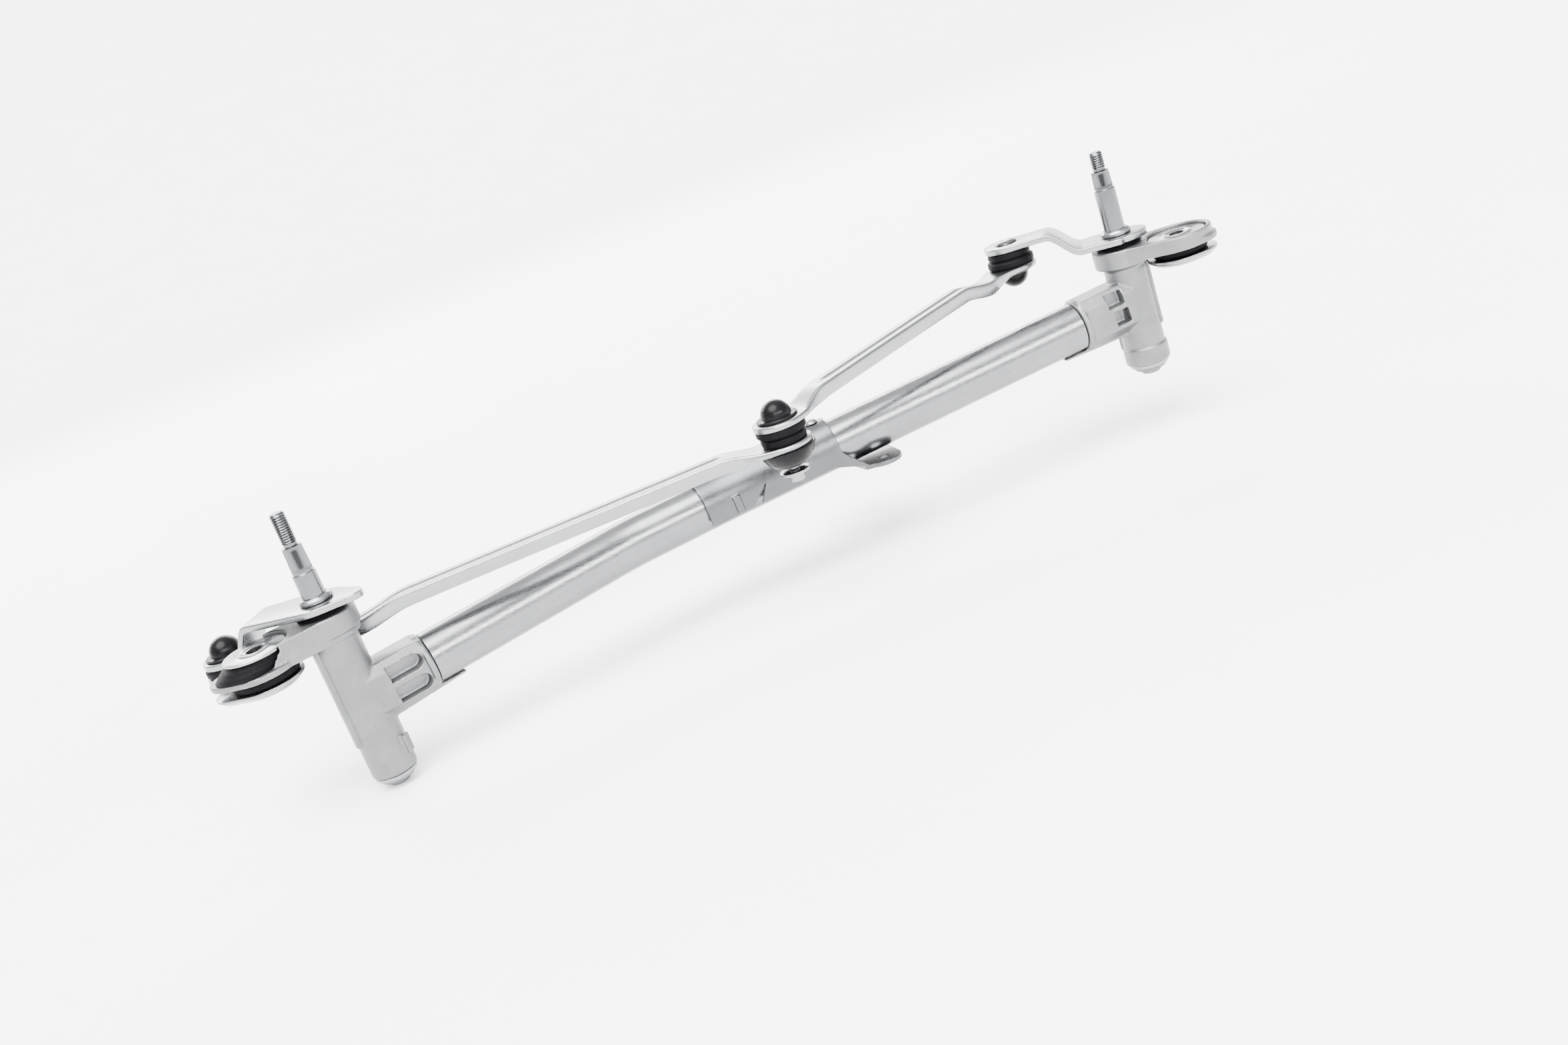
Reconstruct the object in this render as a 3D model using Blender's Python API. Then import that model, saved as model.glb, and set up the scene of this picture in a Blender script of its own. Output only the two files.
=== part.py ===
"""Windshield wiper linkage: a bent tube frame with two cast pivot housings, a motor
bracket, two link rods that meet at a ball socket, and two levers on the wiper shafts.

All dimensions below are in millimetres and are turned into metres when a solid is made.
Design frame: the left wiper shaft is the Z axis, X runs to the right wiper shaft, and
Z = 0 is the middle of the left lever plate. The finished solids are shifted so that the
origin is the centre of the left fixing's foot.
"""
import math

import bmesh
import bpy
from mathutils import Matrix, Vector

MM = 0.001
GAP = 0.3                       # space left between two pieces that touch

# ---- layout -------------------------------------------------------------------------
PIVOT_SPACING = 480.0           # left wiper shaft to right wiper shaft
RIGHT_RISE = 12.0               # right lever plane above the left one
LEVER_REACH = 61.0              # shaft axis to ball axis, both levers
LEVER_ANGLE = math.radians(148.0)
PIN = (244.2, -35.0)            # where both links meet

REACH = Vector((math.cos(LEVER_ANGLE), math.sin(LEVER_ANGLE), 0.0)) * LEVER_REACH
LEFT_BALL = (REACH.x, REACH.y)
RIGHT_BALL = (PIVOT_SPACING + REACH.x, REACH.y)

# ---- frame tube ---------------------------------------------------------------------
TUBE_R = 13.75
TUBE_WALL = 1.5
TUBE_LEFT = Vector((0.0, 0.0, -53.2))        # where the tube axis meets each shaft axis
TUBE_BEND_1 = Vector((159.0, 26.0, -45.1))
TUBE_BEND_2 = Vector((216.0, 26.0, -42.5))
TUBE_RIGHT = Vector((PIVOT_SPACING, 0.0, RIGHT_RISE - 37.4))
TUBE_BEND_R = 120.0
BEND_STEPS = 4
ROOT_LENGTH = 38.0              # shaft axis to the tube's end face
SPIGOT_LENGTH = 26.0            # how far a spigot reaches into the tube

# ---- wiper shafts and their housings ------------------------------------------------
SHAFT_R = 6.0
SHAFT_TIP = 50.0                # tip above the lever plane
THREAD_R = 4.0
BARREL_R = 12.0
BORE_R = 8.0
HEAD_R = 16.0
HEAD_TOP = -4.9                 # top of the head below the lever plane
BUSH_RUN = 0.06                 # radial running clearance of shaft in bush
BUSH_LENGTH = 20.0
LEVER_T = 3.5

LEFT = {
    "name": "left", "at": Vector((0.0, 0.0, 0.0)), "barrel": 96.0, "shoulder": 18.0,
    "cone_end": 32.0, "ear": Vector((-36.0, -8.0, 0.0)), "ear_t": 13.6, "arm_r": 15.0,
    "ring_r": 18.5, "drop": -15.5, "bend": (37.0, 49.0), "tube_from": TUBE_LEFT,
    "tube_to": TUBE_BEND_1, "pocket": "round", "nose": Vector((-13.0, 3.0, 0.0)),
    "nose_step": 5.5, "skirt": Vector((-6.0, 0.0, 0.0)), "flange_r": 17.0, "tail": 25.0,
    "skirt_r": 17.2,
}
RIGHT = {
    "name": "right", "at": Vector((PIVOT_SPACING, 0.0, RIGHT_RISE)), "barrel": 75.0,
    "shoulder": 29.0, "cone_end": 39.0, "ear": Vector((25.5, -19.5, 0.0)), "ear_t": 8.4,
    "arm_r": 19.5, "ring_r": 19.5, "drop": 13.0, "bend": (20.0, 38.0),
    "tube_from": TUBE_RIGHT, "tube_to": TUBE_BEND_2, "pocket": "square",
    "nose": Vector((4.0, -3.0, 0.0)), "nose_step": 3.0, "skirt": Vector((0.0, 0.0, 0.0)),
    "flange_r": 15.6, "tail": 17.0, "skirt_r": 15.5,
}

# ---- rubber fixings -----------------------------------------------------------------
EAR_PLATE_T = 3.2               # thin ring that the grommet clips over
GROMMET_WAIST_R = 9.7
GROMMET_FLANGE_T = 3.8
FOOT_T = 4.0
FOOT_R = 18.5
SLEEVE_R = 6.0
SLEEVE_BORE_R = 4.2
DISC_R = 16.0
DISC_T = 1.5

# ---- ball joints --------------------------------------------------------------------
BALL_R = 6.5
LINK_T = 3.0
SEAL_TALL = 9.5                 # face to face of the two plates in a tall joint
SEAL_SHORT = 4.9
LINK_A_Z = 1.6                  # middle of the right link's plate at the pin
LINK_B_Z = -10.9                # middle of the left link's plate at the pin
DRIVE_BALL_R = 5.0
DRIVE_BALL_Z = -18.7

# ---- motor bracket ------------------------------------------------------------------
SADDLE_T = 2.5
SADDLE_BEFORE = 13.0            # saddle's ends, along the tube from its second bend
SADDLE_AFTER = 70.0
PLATE_TOP = -52.1
PLATE_T = 2.5
LUG = Vector((307.0, 4.7, 0.0))
LUG_R = 10.0
HUB = Vector((303.0, 58.0, 0.0))
HUB_R = 22.0
HUB_HOLE_R = 11.0
SCREW_R = 3.0
SCREW_CIRCLE_R = 16.5            # motor screws around the ring's centre
SCREW_ANGLES = (30.0, 150.0)
RIVETS_AT = (42.0, SADDLE_AFTER - 7.0)

# ---- origin: centre of the left fixing's foot ---------------------------------------
FOOT_DROP = GROMMET_FLANGE_T + GAP + FOOT_T + 0.2
ORIGIN = Vector((LEFT["ear"].x, LEFT["ear"].y, HEAD_TOP - LEFT["ear_t"] - FOOT_DROP))


# ---- materials ----------------------------------------------------------------------
def material(name, colour, roughness, metallic):
    mat = bpy.data.materials.new(name)
    mat.use_nodes = True
    shader = mat.node_tree.nodes["Principled BSDF"]
    shader.inputs["Base Color"].default_value = (*colour, 1.0)
    shader.inputs["Roughness"].default_value = roughness
    shader.inputs["Metallic"].default_value = metallic
    return mat


FINISHES = {
    "cast_aluminium": ((0.66, 0.67, 0.68), 0.45, 1.0),
    "zinc_steel": ((0.72, 0.73, 0.74), 0.32, 1.0),
    "tube_steel": ((0.62, 0.63, 0.64), 0.28, 1.0),
    "shaft_steel": ((0.55, 0.56, 0.58), 0.18, 1.0),
    "bronze": ((0.62, 0.42, 0.22), 0.4, 1.0),
    "black_plastic": ((0.03, 0.03, 0.032), 0.4, 0.0),
    "rubber": ((0.035, 0.035, 0.037), 0.7, 0.0),
}


# ---- mesh helpers -------------------------------------------------------------------
def new_object(name, verts, faces):
    mesh = bpy.data.meshes.new(name)
    mesh.from_pydata([tuple(v) for v in verts], [], faces)
    bm = bmesh.new()
    bm.from_mesh(mesh)
    bmesh.ops.recalc_face_normals(bm, faces=bm.faces)
    bm.to_mesh(mesh)
    bm.free()
    obj = bpy.data.objects.new(name, mesh)
    bpy.context.collection.objects.link(obj)
    return obj


def turned(name, profile, at=(0.0, 0.0, 0.0), segments=32, flip=False, start=0.0):
    """Revolve a closed (radius, height) outline about an upright axis through `at`."""
    verts, rings = [], []
    sign = -1.0 if flip else 1.0
    for radius, height in profile:
        if radius < 1e-6:
            rings.append([len(verts)])
            verts.append((at[0], at[1], at[2] + sign * height))
            continue
        rings.append(list(range(len(verts), len(verts) + segments)))
        for i in range(segments):
            a = start + 2.0 * math.pi * i / segments
            x = at[0] + radius * math.cos(a)
            y = at[1] + radius * math.sin(a)
            verts.append((x, y, at[2] + sign * height))
    faces = []
    for k, ring in enumerate(rings):
        other = rings[(k + 1) % len(rings)]
        if len(ring) == 1 and len(other) == 1:
            continue
        for i in range(segments):
            j = (i + 1) % segments
            loop = [ring[i % len(ring)], ring[j % len(ring)]]
            loop += [other[j % len(other)], other[i % len(other)]]
            face = list(dict.fromkeys(loop))
            faces.append(face)
    return new_object(name, verts, faces)


def washer(name, r_in, r_out, low, high, at=(0.0, 0.0, 0.0), segments=24, chamfer=0.0):
    c = chamfer
    profile = [(r_in, low), (r_out - c, low), (r_out, low + c), (r_out, high - c)]
    profile += [(r_out - c, high), (r_in, high)]
    if c <= 0.0:
        profile = [(r_in, low), (r_out, low), (r_out, high), (r_in, high)]
    return turned(name, profile, at, segments)


def cylinder(radius, low, high, at=(0.0, 0.0, 0.0), segments=32, start=0.0):
    profile = [(0.0, low), (radius, low), (radius, high), (0.0, high)]
    return turned("tool", profile, at, segments, start=start)


def slab(outline, low, high):
    """Extrude a plan outline between two heights."""
    n = len(outline)
    verts = [(x, y, low) for x, y in outline] + [(x, y, high) for x, y in outline]
    faces = [list(range(n)), list(range(n, 2 * n))]
    faces += [[i, (i + 1) % n, n + (i + 1) % n, n + i] for i in range(n)]
    return new_object("tool", verts, faces)


def arc(centre, radius, start, end, steps):
    points = []
    for i in range(steps + 1):
        a = start + (end - start) * i / steps
        points.append((centre[0] + radius * math.cos(a), centre[1] + radius * math.sin(a)))
    return points


def two_circle_hull(c0, r0, c1, r1, steps=12):
    """Outline of a belt pulled round two circles."""
    dx, dy = c1[0] - c0[0], c1[1] - c0[1]
    heading = math.atan2(dy, dx)
    spread = math.acos((r0 - r1) / math.hypot(dx, dy))
    points = arc(c0, r0, heading + spread, heading + 2.0 * math.pi - spread, steps)
    points += arc(c1, r1, heading - spread, heading + spread, steps)
    return points


def placed(obj, matrix):
    obj.data.transform(matrix)
    if matrix.determinant() < 0.0:
        obj.data.flip_normals()
    obj.data.update()
    return obj


def in_triangles(obj):
    bm = bmesh.new()
    bm.from_mesh(obj.data)
    bmesh.ops.triangulate(bm, faces=bm.faces)
    bm.to_mesh(obj.data)
    bm.free()


def combine(obj, tool, operation):
    in_triangles(obj)
    in_triangles(tool)
    mod = obj.modifiers.new("step", "BOOLEAN")
    mod.operation = operation
    mod.solver = "EXACT"
    mod.object = tool
    bpy.context.view_layer.update()
    deps = bpy.context.evaluated_depsgraph_get()
    mesh = bpy.data.meshes.new_from_object(obj.evaluated_get(deps))
    obj.modifiers.clear()
    old = obj.data
    obj.data = mesh
    bpy.data.meshes.remove(old)
    spare = tool.data
    bpy.data.objects.remove(tool)
    bpy.data.meshes.remove(spare)
    return obj


def join(obj, *tools):
    for tool in tools:
        combine(obj, tool, "UNION")
    return obj


def cut(obj, *tools):
    for tool in tools:
        combine(obj, tool, "DIFFERENCE")
    return obj


def finish(obj, name, slot):
    """Name a solid, move it to the row's origin, turn it into metres and colour it."""
    bm = bmesh.new()
    bm.from_mesh(obj.data)
    bmesh.ops.remove_doubles(bm, verts=bm.verts, dist=0.0005)
    bmesh.ops.dissolve_degenerate(bm, edges=bm.edges, dist=0.0005)
    bmesh.ops.dissolve_limit(bm, angle_limit=math.radians(0.2), verts=bm.verts, edges=bm.edges)
    bmesh.ops.triangulate(bm, faces=[f for f in bm.faces if len(f.verts) > 4])
    bmesh.ops.recalc_face_normals(bm, faces=bm.faces)
    bm.transform(Matrix.Scale(MM, 4) @ Matrix.Translation(-ORIGIN))
    bm.to_mesh(obj.data)
    bm.free()
    obj.name = name
    obj.data.name = name
    obj.data.materials.clear()
    obj.data.materials.append(MATERIALS[slot])
    for poly in obj.data.polygons:
        poly.material_index = 0
    return obj


def ladder(sections):
    """Skin a list of equal closed sections and cap both ends."""
    n = len(sections[0])
    verts = [p for section in sections for p in section]
    faces = []
    for k in range(len(sections) - 1):
        for i in range(n):
            j = (i + 1) % n
            faces.append([k * n + i, k * n + j, (k + 1) * n + j, (k + 1) * n + i])
    faces.append(list(range(n)))
    faces.append([(len(sections) - 1) * n + i for i in range(n)])
    return new_object("tool", verts, faces)


def smooth(t):
    t = min(max(t, 0.0), 1.0)
    return t * t * (3.0 - 2.0 * t)


# ---- strip parts: levers and links --------------------------------------------------
def strip_path(start, heading, stations, heights):
    """Points and upward normals of a bent strip seen from its side."""
    along = Vector((math.cos(heading), math.sin(heading), 0.0))
    points = [start + along * s + Vector((0.0, 0.0, z)) for s, z in zip(stations, heights)]
    normals = []
    for i in range(len(points)):
        tangent = points[min(i + 1, len(points) - 1)] - points[max(i - 1, 0)]
        across = Vector((-along.y, along.x, 0.0))
        normals.append(tangent.cross(across).normalized())
    normals = [n if n.z > 0.0 else -n for n in normals]
    return points, normals, Vector((-along.y, along.x, 0.0))


def round_end(distance, radius):
    """Half width of a circle's chord at a distance inside its rim."""
    d = min(max(distance, 0.0), radius)
    return math.sqrt(max(radius * radius - (radius - d) ** 2, 0.0))


def lever(side):
    """Stamped lever: round hub, tapering arm with one bend, round ball end."""
    hub_r, end_r = 15.5, 13.0
    tail = side["tail"]
    bend_0, bend_1 = side["bend"]
    last = LEVER_REACH + end_r
    stations = [-tail + d for d in (0.15, 1.0, 2.6, 5.0, 9.0)] + [-8.0, -4.0, 0.0, 5.0]
    stations += [bend_0 + (bend_1 - bend_0) * i / 7.0 for i in range(8)]
    stations += [LEVER_REACH, last - 7.0, last - 3.5, last - 1.2, last - 0.15]
    stations = sorted(stations)
    heights, widths = [], []
    for s in stations:
        heights.append(side["drop"] * smooth((s - bend_0) / (bend_1 - bend_0)))
        taper = 14.5 - 3.0 * smooth((s - 8.0) / 40.0)
        if s < 0.0:
            tip_r = 7.0 if tail > 20.0 else 13.5
            width = tip_r + (hub_r - tip_r) * smooth((s + tail - 3.0) / (tail - 3.0))
            width = min(width, round_end(s + tail, tip_r)) if s < -tail + tip_r else width
        elif s > LEVER_REACH:
            width = round_end(last - s, end_r)
        else:
            blend_end = smooth((s - LEVER_REACH + 14.0) / 14.0)
            blend_hub = 1.0 - smooth(s / 14.0)
            width = taper + (end_r - taper) * blend_end + (hub_r - taper) * blend_hub
        widths.append(width)
    points, normals, across = strip_path(side["at"], LEVER_ANGLE, stations, heights)
    sections = []
    for point, normal, width in zip(points, normals, widths):
        rise = normal * (LEVER_T / 2.0)
        side_step = across * width
        sections.append([point - side_step - rise, point + side_step - rise,
                         point + side_step + rise, point - side_step + rise])
    obj = ladder(sections)
    top = abs(side["drop"]) + 8.0
    cut(obj, cylinder(SHAFT_R + 0.15, -5.0, 5.0, side["at"]))
    hole_r = SOCKET_HOLE_R if side is LEFT else STUD_HOLE_R
    ball = side["at"] + REACH
    cut(obj, cylinder(hole_r, -top, top + 12.0, ball))
    return finish(obj, side["name"] + "_lever", "zinc_steel")


def link(name, start, end, hole_start, hole_end, crown, ramp_start, ramp_end):
    """Stamped link rod: two flat round pads with a channel section between them."""
    pad_r = 14.0
    run = Vector((end[0] - start[0], end[1] - start[1], 0.0))
    length = run.length
    heading = math.atan2(run.y, run.x)
    ends = [0.15, 1.2, 3.5, 7.5, pad_r]
    stations = [-pad_r + d for d in ends]
    stations += [5.0, 10.0, 15.0, 20.0, 25.0, 31.0, 37.0]
    middle = length / 2.0
    stations += [middle - 30.0, middle, middle + 30.0]
    stations += [length - s for s in (44.0, 52.0, 66.0, 76.0, 86.0, 96.0) if s < middle - 34.0]
    stations += [length - s for s in stations if s < middle - 40.0]
    stations = sorted(stations)
    heights, widths, depths = [], [], []
    for s in stations:
        inset = min(s, length - s)
        near, far = ramp_start
        lift = crown * smooth((s - near) / (far - near))
        near, far = ramp_end
        lift *= smooth((length - s - near) / (far - near))
        heights.append(start[2] + (end[2] - start[2]) * smooth_line(s, length) + lift)
        waist = 8.0 - 1.2 * math.sin(math.pi * min(max(s / length, 0.0), 1.0))
        if inset < 0.0:
            width = round_end(inset + pad_r, pad_r)
        else:
            width = waist + (pad_r - waist) * (1.0 - smooth(inset / 26.0))
        widths.append(width)
        depths.append(0.1 + 4.4 * smooth((inset - 12.0) / 16.0))
    base = Vector((start[0], start[1], 0.0))
    points, normals, across = strip_path(base, heading, stations, heights)
    sections = []
    for point, normal, width, depth in zip(points, normals, widths, depths):
        wall = min(2.2, 0.45 * width)
        top = normal * (LINK_T / 2.0)
        web = -normal * (LINK_T / 2.0)
        edge = -normal * (LINK_T / 2.0 + depth)
        wide, narrow = across * width, across * (width - wall)
        sections.append([point - wide + top, point - wide + edge, point - narrow + edge,
                         point - narrow + web, point + narrow + web, point + narrow + edge,
                         point + wide + edge, point + wide + top])
    obj = ladder(sections)
    low = min(start[2], end[2]) - 12.0
    high = max(start[2], end[2]) + 12.0
    cut(obj, cylinder(hole_start, low, high, (start[0], start[1], 0.0)))
    cut(obj, cylinder(hole_end, low, high, (end[0], end[1], 0.0)))
    return finish(obj, name, "zinc_steel")


def smooth_line(s, length):
    """Rise that is level under both pads and even between them."""
    return min(max((s - 12.0) / (length - 24.0), 0.0), 1.0)


# ---- ball joint pieces --------------------------------------------------------------
SOCKET_HOLE_R = 9.2
STUD_HOLE_R = 4.6


def socket(name, ball_z, at, plate_t, flip=False, segments=20):
    """Moulded cap that snaps into its plate and holds the ball."""
    r = 8.2
    low = -1.8 - plate_t
    profile = [(0.0, r)]
    profile += [(r * math.sin(a), r * math.cos(a)) for a in steps(0.0, 1.5708, 5)[1:]]
    profile += [(r, -0.1), (11.0, -0.35), (11.0, -1.6), (8.9, -1.6), (8.9, low - 0.2)]
    profile += [(9.8, low - 0.5), (9.8, low - 1.3), (8.9, low - 2.1), (6.4, low - 2.1)]
    inner = BALL_R + 0.35
    mouth = math.acos(-3.6 / inner)
    profile += [(inner * math.sin(a), inner * math.cos(a)) for a in steps(mouth, 0.0, 5)]
    profile[-1] = (0.0, inner)
    obj = turned(name, profile, (at[0], at[1], ball_z), segments, flip)
    return finish(obj, name, "black_plastic")


def steps(first, last, count):
    return [first + (last - first) * i / count for i in range(count + 1)]


def stud(name, ball_z, at, arm_face, arm_t, head, ball_r=BALL_R, flip=False):
    """Ball stud riveted in a plate; arm_face and arm_t are measured down from the ball."""
    neck = ball_r * 0.52
    start = math.acos(-math.sqrt(1.0 - (neck / ball_r) ** 2))
    profile = [(ball_r * math.sin(a), ball_r * math.cos(a)) for a in steps(0.0, start, 7)]
    profile[0] = (0.0, ball_r)
    collar = min(1.1, (-ball_r * 0.9 - arm_face) * 0.6)
    profile += [(neck, arm_face + collar + 0.1), (6.0, arm_face + collar), (6.0, arm_face + 0.1)]
    foot = arm_face - arm_t
    profile += [(STUD_HOLE_R - 0.2, arm_face + 0.1)]
    if head:
        profile += [(STUD_HOLE_R - 0.2, foot - 0.1), (6.6, foot - 0.1), (6.0, foot - 1.2)]
        profile += [(3.5, foot - 1.9), (0.0, foot - 2.0)]
    else:
        profile += [(STUD_HOLE_R - 0.2, foot + 0.1), (0.0, foot + 0.1)]
    obj = turned(name, profile, (at[0], at[1], ball_z), 20, flip)
    return finish(obj, name, "shaft_steel")


def seal(name, plate_z, at, height, flip=False):
    """Rubber bellows between the two plates; its wide ring sits under the socket."""
    g = 0.2
    h = height - 2.0 * g
    profile = [(10.4, 0.0), (12.8, 0.0), (13.5, -1.0), (13.5, -3.3), (12.8, -4.2)]
    if height > 6.0:
        profile += [(11.2, -4.6), (11.2, -5.0), (12.1, -5.4), (12.4, -6.3), (12.1, -h + 0.4)]
        profile += [(11.6, -h), (10.4, -h)]
    else:
        profile += [(12.4, -h), (10.4, -h)]
    profile = [(r, z - g) for r, z in profile]
    obj = turned(name, profile, (at[0], at[1], plate_z), 24, flip)
    return finish(obj, name, "rubber")


# ---- pivot housings -----------------------------------------------------------------
def tube_frame(side):
    """Matrix whose X axis runs from the shaft along the tube and Z stays near upright."""
    x_axis = (side["tube_to"] - side["tube_from"]).normalized()
    y_axis = Vector((0.0, 0.0, 1.0)).cross(x_axis).normalized()
    z_axis = x_axis.cross(y_axis)
    rotation = Matrix((x_axis, y_axis, z_axis)).transposed().to_4x4()
    return Matrix.Translation(side["tube_from"]) @ rotation


LIE_ALONG_X = Matrix.Rotation(math.radians(90.0), 4, "Y")


def block(x0, x1, y0, y1, z0, z1):
    return slab([(x0, y0), (x1, y0), (x1, y1), (x0, y1)], z0, z1)


def slot(x0, x1, z_mid, half, depth_from, round_far):
    """Cutter for a pocket in the root's flank: runs along X and opens towards -Y or +Y."""
    outline = [(x0, z_mid - half), (x1 - half, z_mid - half)]
    if round_far:
        outline += arc((x1 - half, z_mid), half, -math.pi / 2.0, math.pi / 2.0, 8)[1:-1]
        outline += [(x1 - half, z_mid + half), (x0, z_mid + half)]
    else:
        outline = [(x0, z_mid - half), (x1, z_mid - half), (x1, z_mid + half)]
        outline += [(x0, z_mid + half)]
    tool = slab(outline, depth_from, 30.0)
    return placed(tool, Matrix.Rotation(math.radians(90.0), 4, "X"))


def oval(ear, nose, radius, nose_radius):
    """Round pad drawn out into a smaller nose."""
    tip = ear + nose
    return two_circle_hull((ear.x, ear.y), radius, (tip.x, tip.y), nose_radius, 14)


def leaning_cone(ear, skirt, levels, segments=28):
    """Stack of circles; each level is (height, radius, share of the skirt's offset)."""
    sections = []
    for height, radius, share in levels:
        centre = ear + skirt * share
        sections.append([Vector((centre.x + radius * math.cos(2.0 * math.pi * i / segments),
                                 centre.y + radius * math.sin(2.0 * math.pi * i / segments),
                                 ear.z + height)) for i in range(segments)])
    return ladder(sections)


def housing(side):
    at = Vector((0.0, 0.0, 0.0))
    top, base = HEAD_TOP, -side["barrel"]
    head_low = HEAD_TOP - 10.0
    foot_r = BARREL_R if side is LEFT else BARREL_R + 0.9
    profile = [(0.0, top), (HEAD_R - 0.6, top), (HEAD_R, top - 0.6), (HEAD_R, head_low)]
    profile += [(BARREL_R, head_low - 2.0), (BARREL_R, base + 10.5), (foot_r, base + 9.6)]
    profile += [(foot_r, base + 0.5), (foot_r - 0.5, base), (0.0, base)]
    body = turned("housing", profile, at, 32)

    # ear: a thick arm that ends at the grommet's thin ring
    ear = at + side["ear"]
    ear_low = top - side["ear_t"]
    plate_top = ear_low + EAR_PLATE_T
    arm = slab(two_circle_hull((at.x, at.y), HEAD_R - 1.5, (ear.x, ear.y), side["arm_r"]),
               at.z + ear_low, at.z + top - 0.15)
    levels = [(plate_top, DISC_R + 1.9, 1.0), (top - 3.3, DISC_R + 1.0, 0.0)]
    levels += [(top + 5.0, DISC_R + 1.0, 0.0)]
    cut(arm, leaning_cone(ear, side["skirt"], levels, 32))
    nose_r = side["ring_r"] - side["nose_step"]
    ring = slab(oval(ear, side["nose"], side["ring_r"], nose_r), ear_low + 0.05, plate_top + 0.05)
    join(body, arm, ring)
    cut(body, cylinder(GROMMET_WAIST_R + 0.2, ear_low - 3.0, top, ear, 32))

    # root: a ribbed block that carries the tube's spigot
    place = tube_frame(side)
    half_w, low, high = 12.0, -14.6, 14.0
    section = [(-half_w, low + 5.0), (-half_w + 5.0, low), (half_w - 5.0, low)]
    section += [(half_w, low + 5.0), (half_w, high - 5.0), (half_w - 4.0, high)]
    section += [(-half_w + 4.0, high), (-half_w, high - 5.0)]
    root = ladder([[Vector((x, y, z)) for y, z in section] for x in (3.0, ROOT_LENGTH - 2.0)])
    rim = TUBE_R + 1.3
    collar_profile = [(0.0, ROOT_LENGTH - 3.4), (rim, ROOT_LENGTH - 3.4)]
    collar_profile += [(rim, ROOT_LENGTH - 1.0), (rim - 0.8, ROOT_LENGTH - GAP)]
    end = ROOT_LENGTH + SPIGOT_LENGTH
    inner = TUBE_R - TUBE_WALL - 0.2
    collar_profile += [(inner, ROOT_LENGTH - GAP), (inner, end - 2.0), (inner - 1.5, end)]
    collar_profile += [(0.0, end)]
    spigot = placed(turned("tool", collar_profile, segments=28), LIE_ALONG_X)
    lip_top = -TUBE_R - GAP
    lip = [(2.0, -17.6), (ROOT_LENGTH + 14.0, lip_top - 1.2), (ROOT_LENGTH + 14.0, lip_top)]
    lip += [(2.0, lip_top)]
    wedge = placed(slab(lip, -4.5, 4.5), Matrix.Rotation(math.radians(90.0), 4, "X"))
    join(root, spigot, wedge)
    front = -1.0 if place.to_3x3().col[1].y > 0.0 else 1.0
    if side["pocket"] == "round":
        pockets = ((15.0, 33.6, 5.9), (15.0, 33.6, -5.9))
        round_far = True
        half = 4.3
    else:
        pockets = ((10.5, 20.5, 7.5), (9.5, 18.5, -3.5))
        round_far = False
        half = 4.2
    for x0, x1, z_mid in pockets:
        tool = slot(x0, x1, z_mid, half, 5.5, round_far)
        if front > 0.0:
            placed(tool, Matrix.Scale(-1.0, 4, Vector((0.0, 1.0, 0.0))))
        cut(root, tool)
    placed(root, Matrix.Translation(-side["at"]) @ place)
    join(body, root)

    # casting details on the barrel
    lug = block(BARREL_R - 2.0, BARREL_R + 2.6, -2.2, 2.2, base + 8.0, base + 18.0)
    rib = block(BARREL_R - 1.5, BARREL_R + 1.6, -1.6, 1.6, base + 20.0, head_low + 1.0)
    turn_rib = math.radians(205.0) if side is LEFT else math.radians(-28.0)
    turn_lug = math.radians(-35.0) if side is LEFT else math.radians(120.0)
    placed(lug, Matrix.Rotation(turn_lug, 4, "Z"))
    placed(rib, Matrix.Rotation(turn_rib, 4, "Z"))
    join(body, lug, rib)
    cut(body, cylinder(BORE_R, base - 5.0, 5.0, at, 28))
    placed(body, Matrix.Translation(side["at"]))
    return finish(body, side["name"] + "_housing", "cast_aluminium")


def bushes(side):
    at, name = side["at"], side["name"]
    top = HEAD_TOP - 0.6
    base = -side["barrel"] + 0.6
    r_in, r_out = SHAFT_R + BUSH_RUN, BORE_R - 0.12
    upper = washer("bush", r_in, r_out, top - BUSH_LENGTH, top, at, 24)
    finish(upper, name + "_upper_bush", "bronze")
    lower = washer("bush", r_in, r_out, base, base + BUSH_LENGTH, at, 24)
    finish(lower, name + "_lower_bush", "bronze")


def shaft(side):
    """Wiper shaft: retained lower end, plain journal, knurled cone seat and thread."""
    base = -side["barrel"]
    profile = [(0.0, base - 7.0), (5.0, base - 7.0), (5.6, base - 6.4), (5.6, base - 4.4)]
    profile += [(5.0, base - 4.4), (5.0, base - 2.95), (SHAFT_R, base - 2.95)]
    profile += [(SHAFT_R, side["shoulder"] - 0.8), (SHAFT_R - 0.7, side["shoulder"])]
    profile += [(4.9, side["cone_end"]), (3.5, side["cone_end"] + 0.6)]
    profile += [(3.5, side["cone_end"] + 1.8), (THREAD_R, side["cone_end"] + 2.4)]
    profile += [(THREAD_R, SHAFT_TIP - 1.0), (THREAD_R - 0.9, SHAFT_TIP), (0.0, SHAFT_TIP)]
    obj = turned("shaft", profile, side["at"], 24)
    finish(obj, side["name"] + "_shaft", "shaft_steel")


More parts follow.
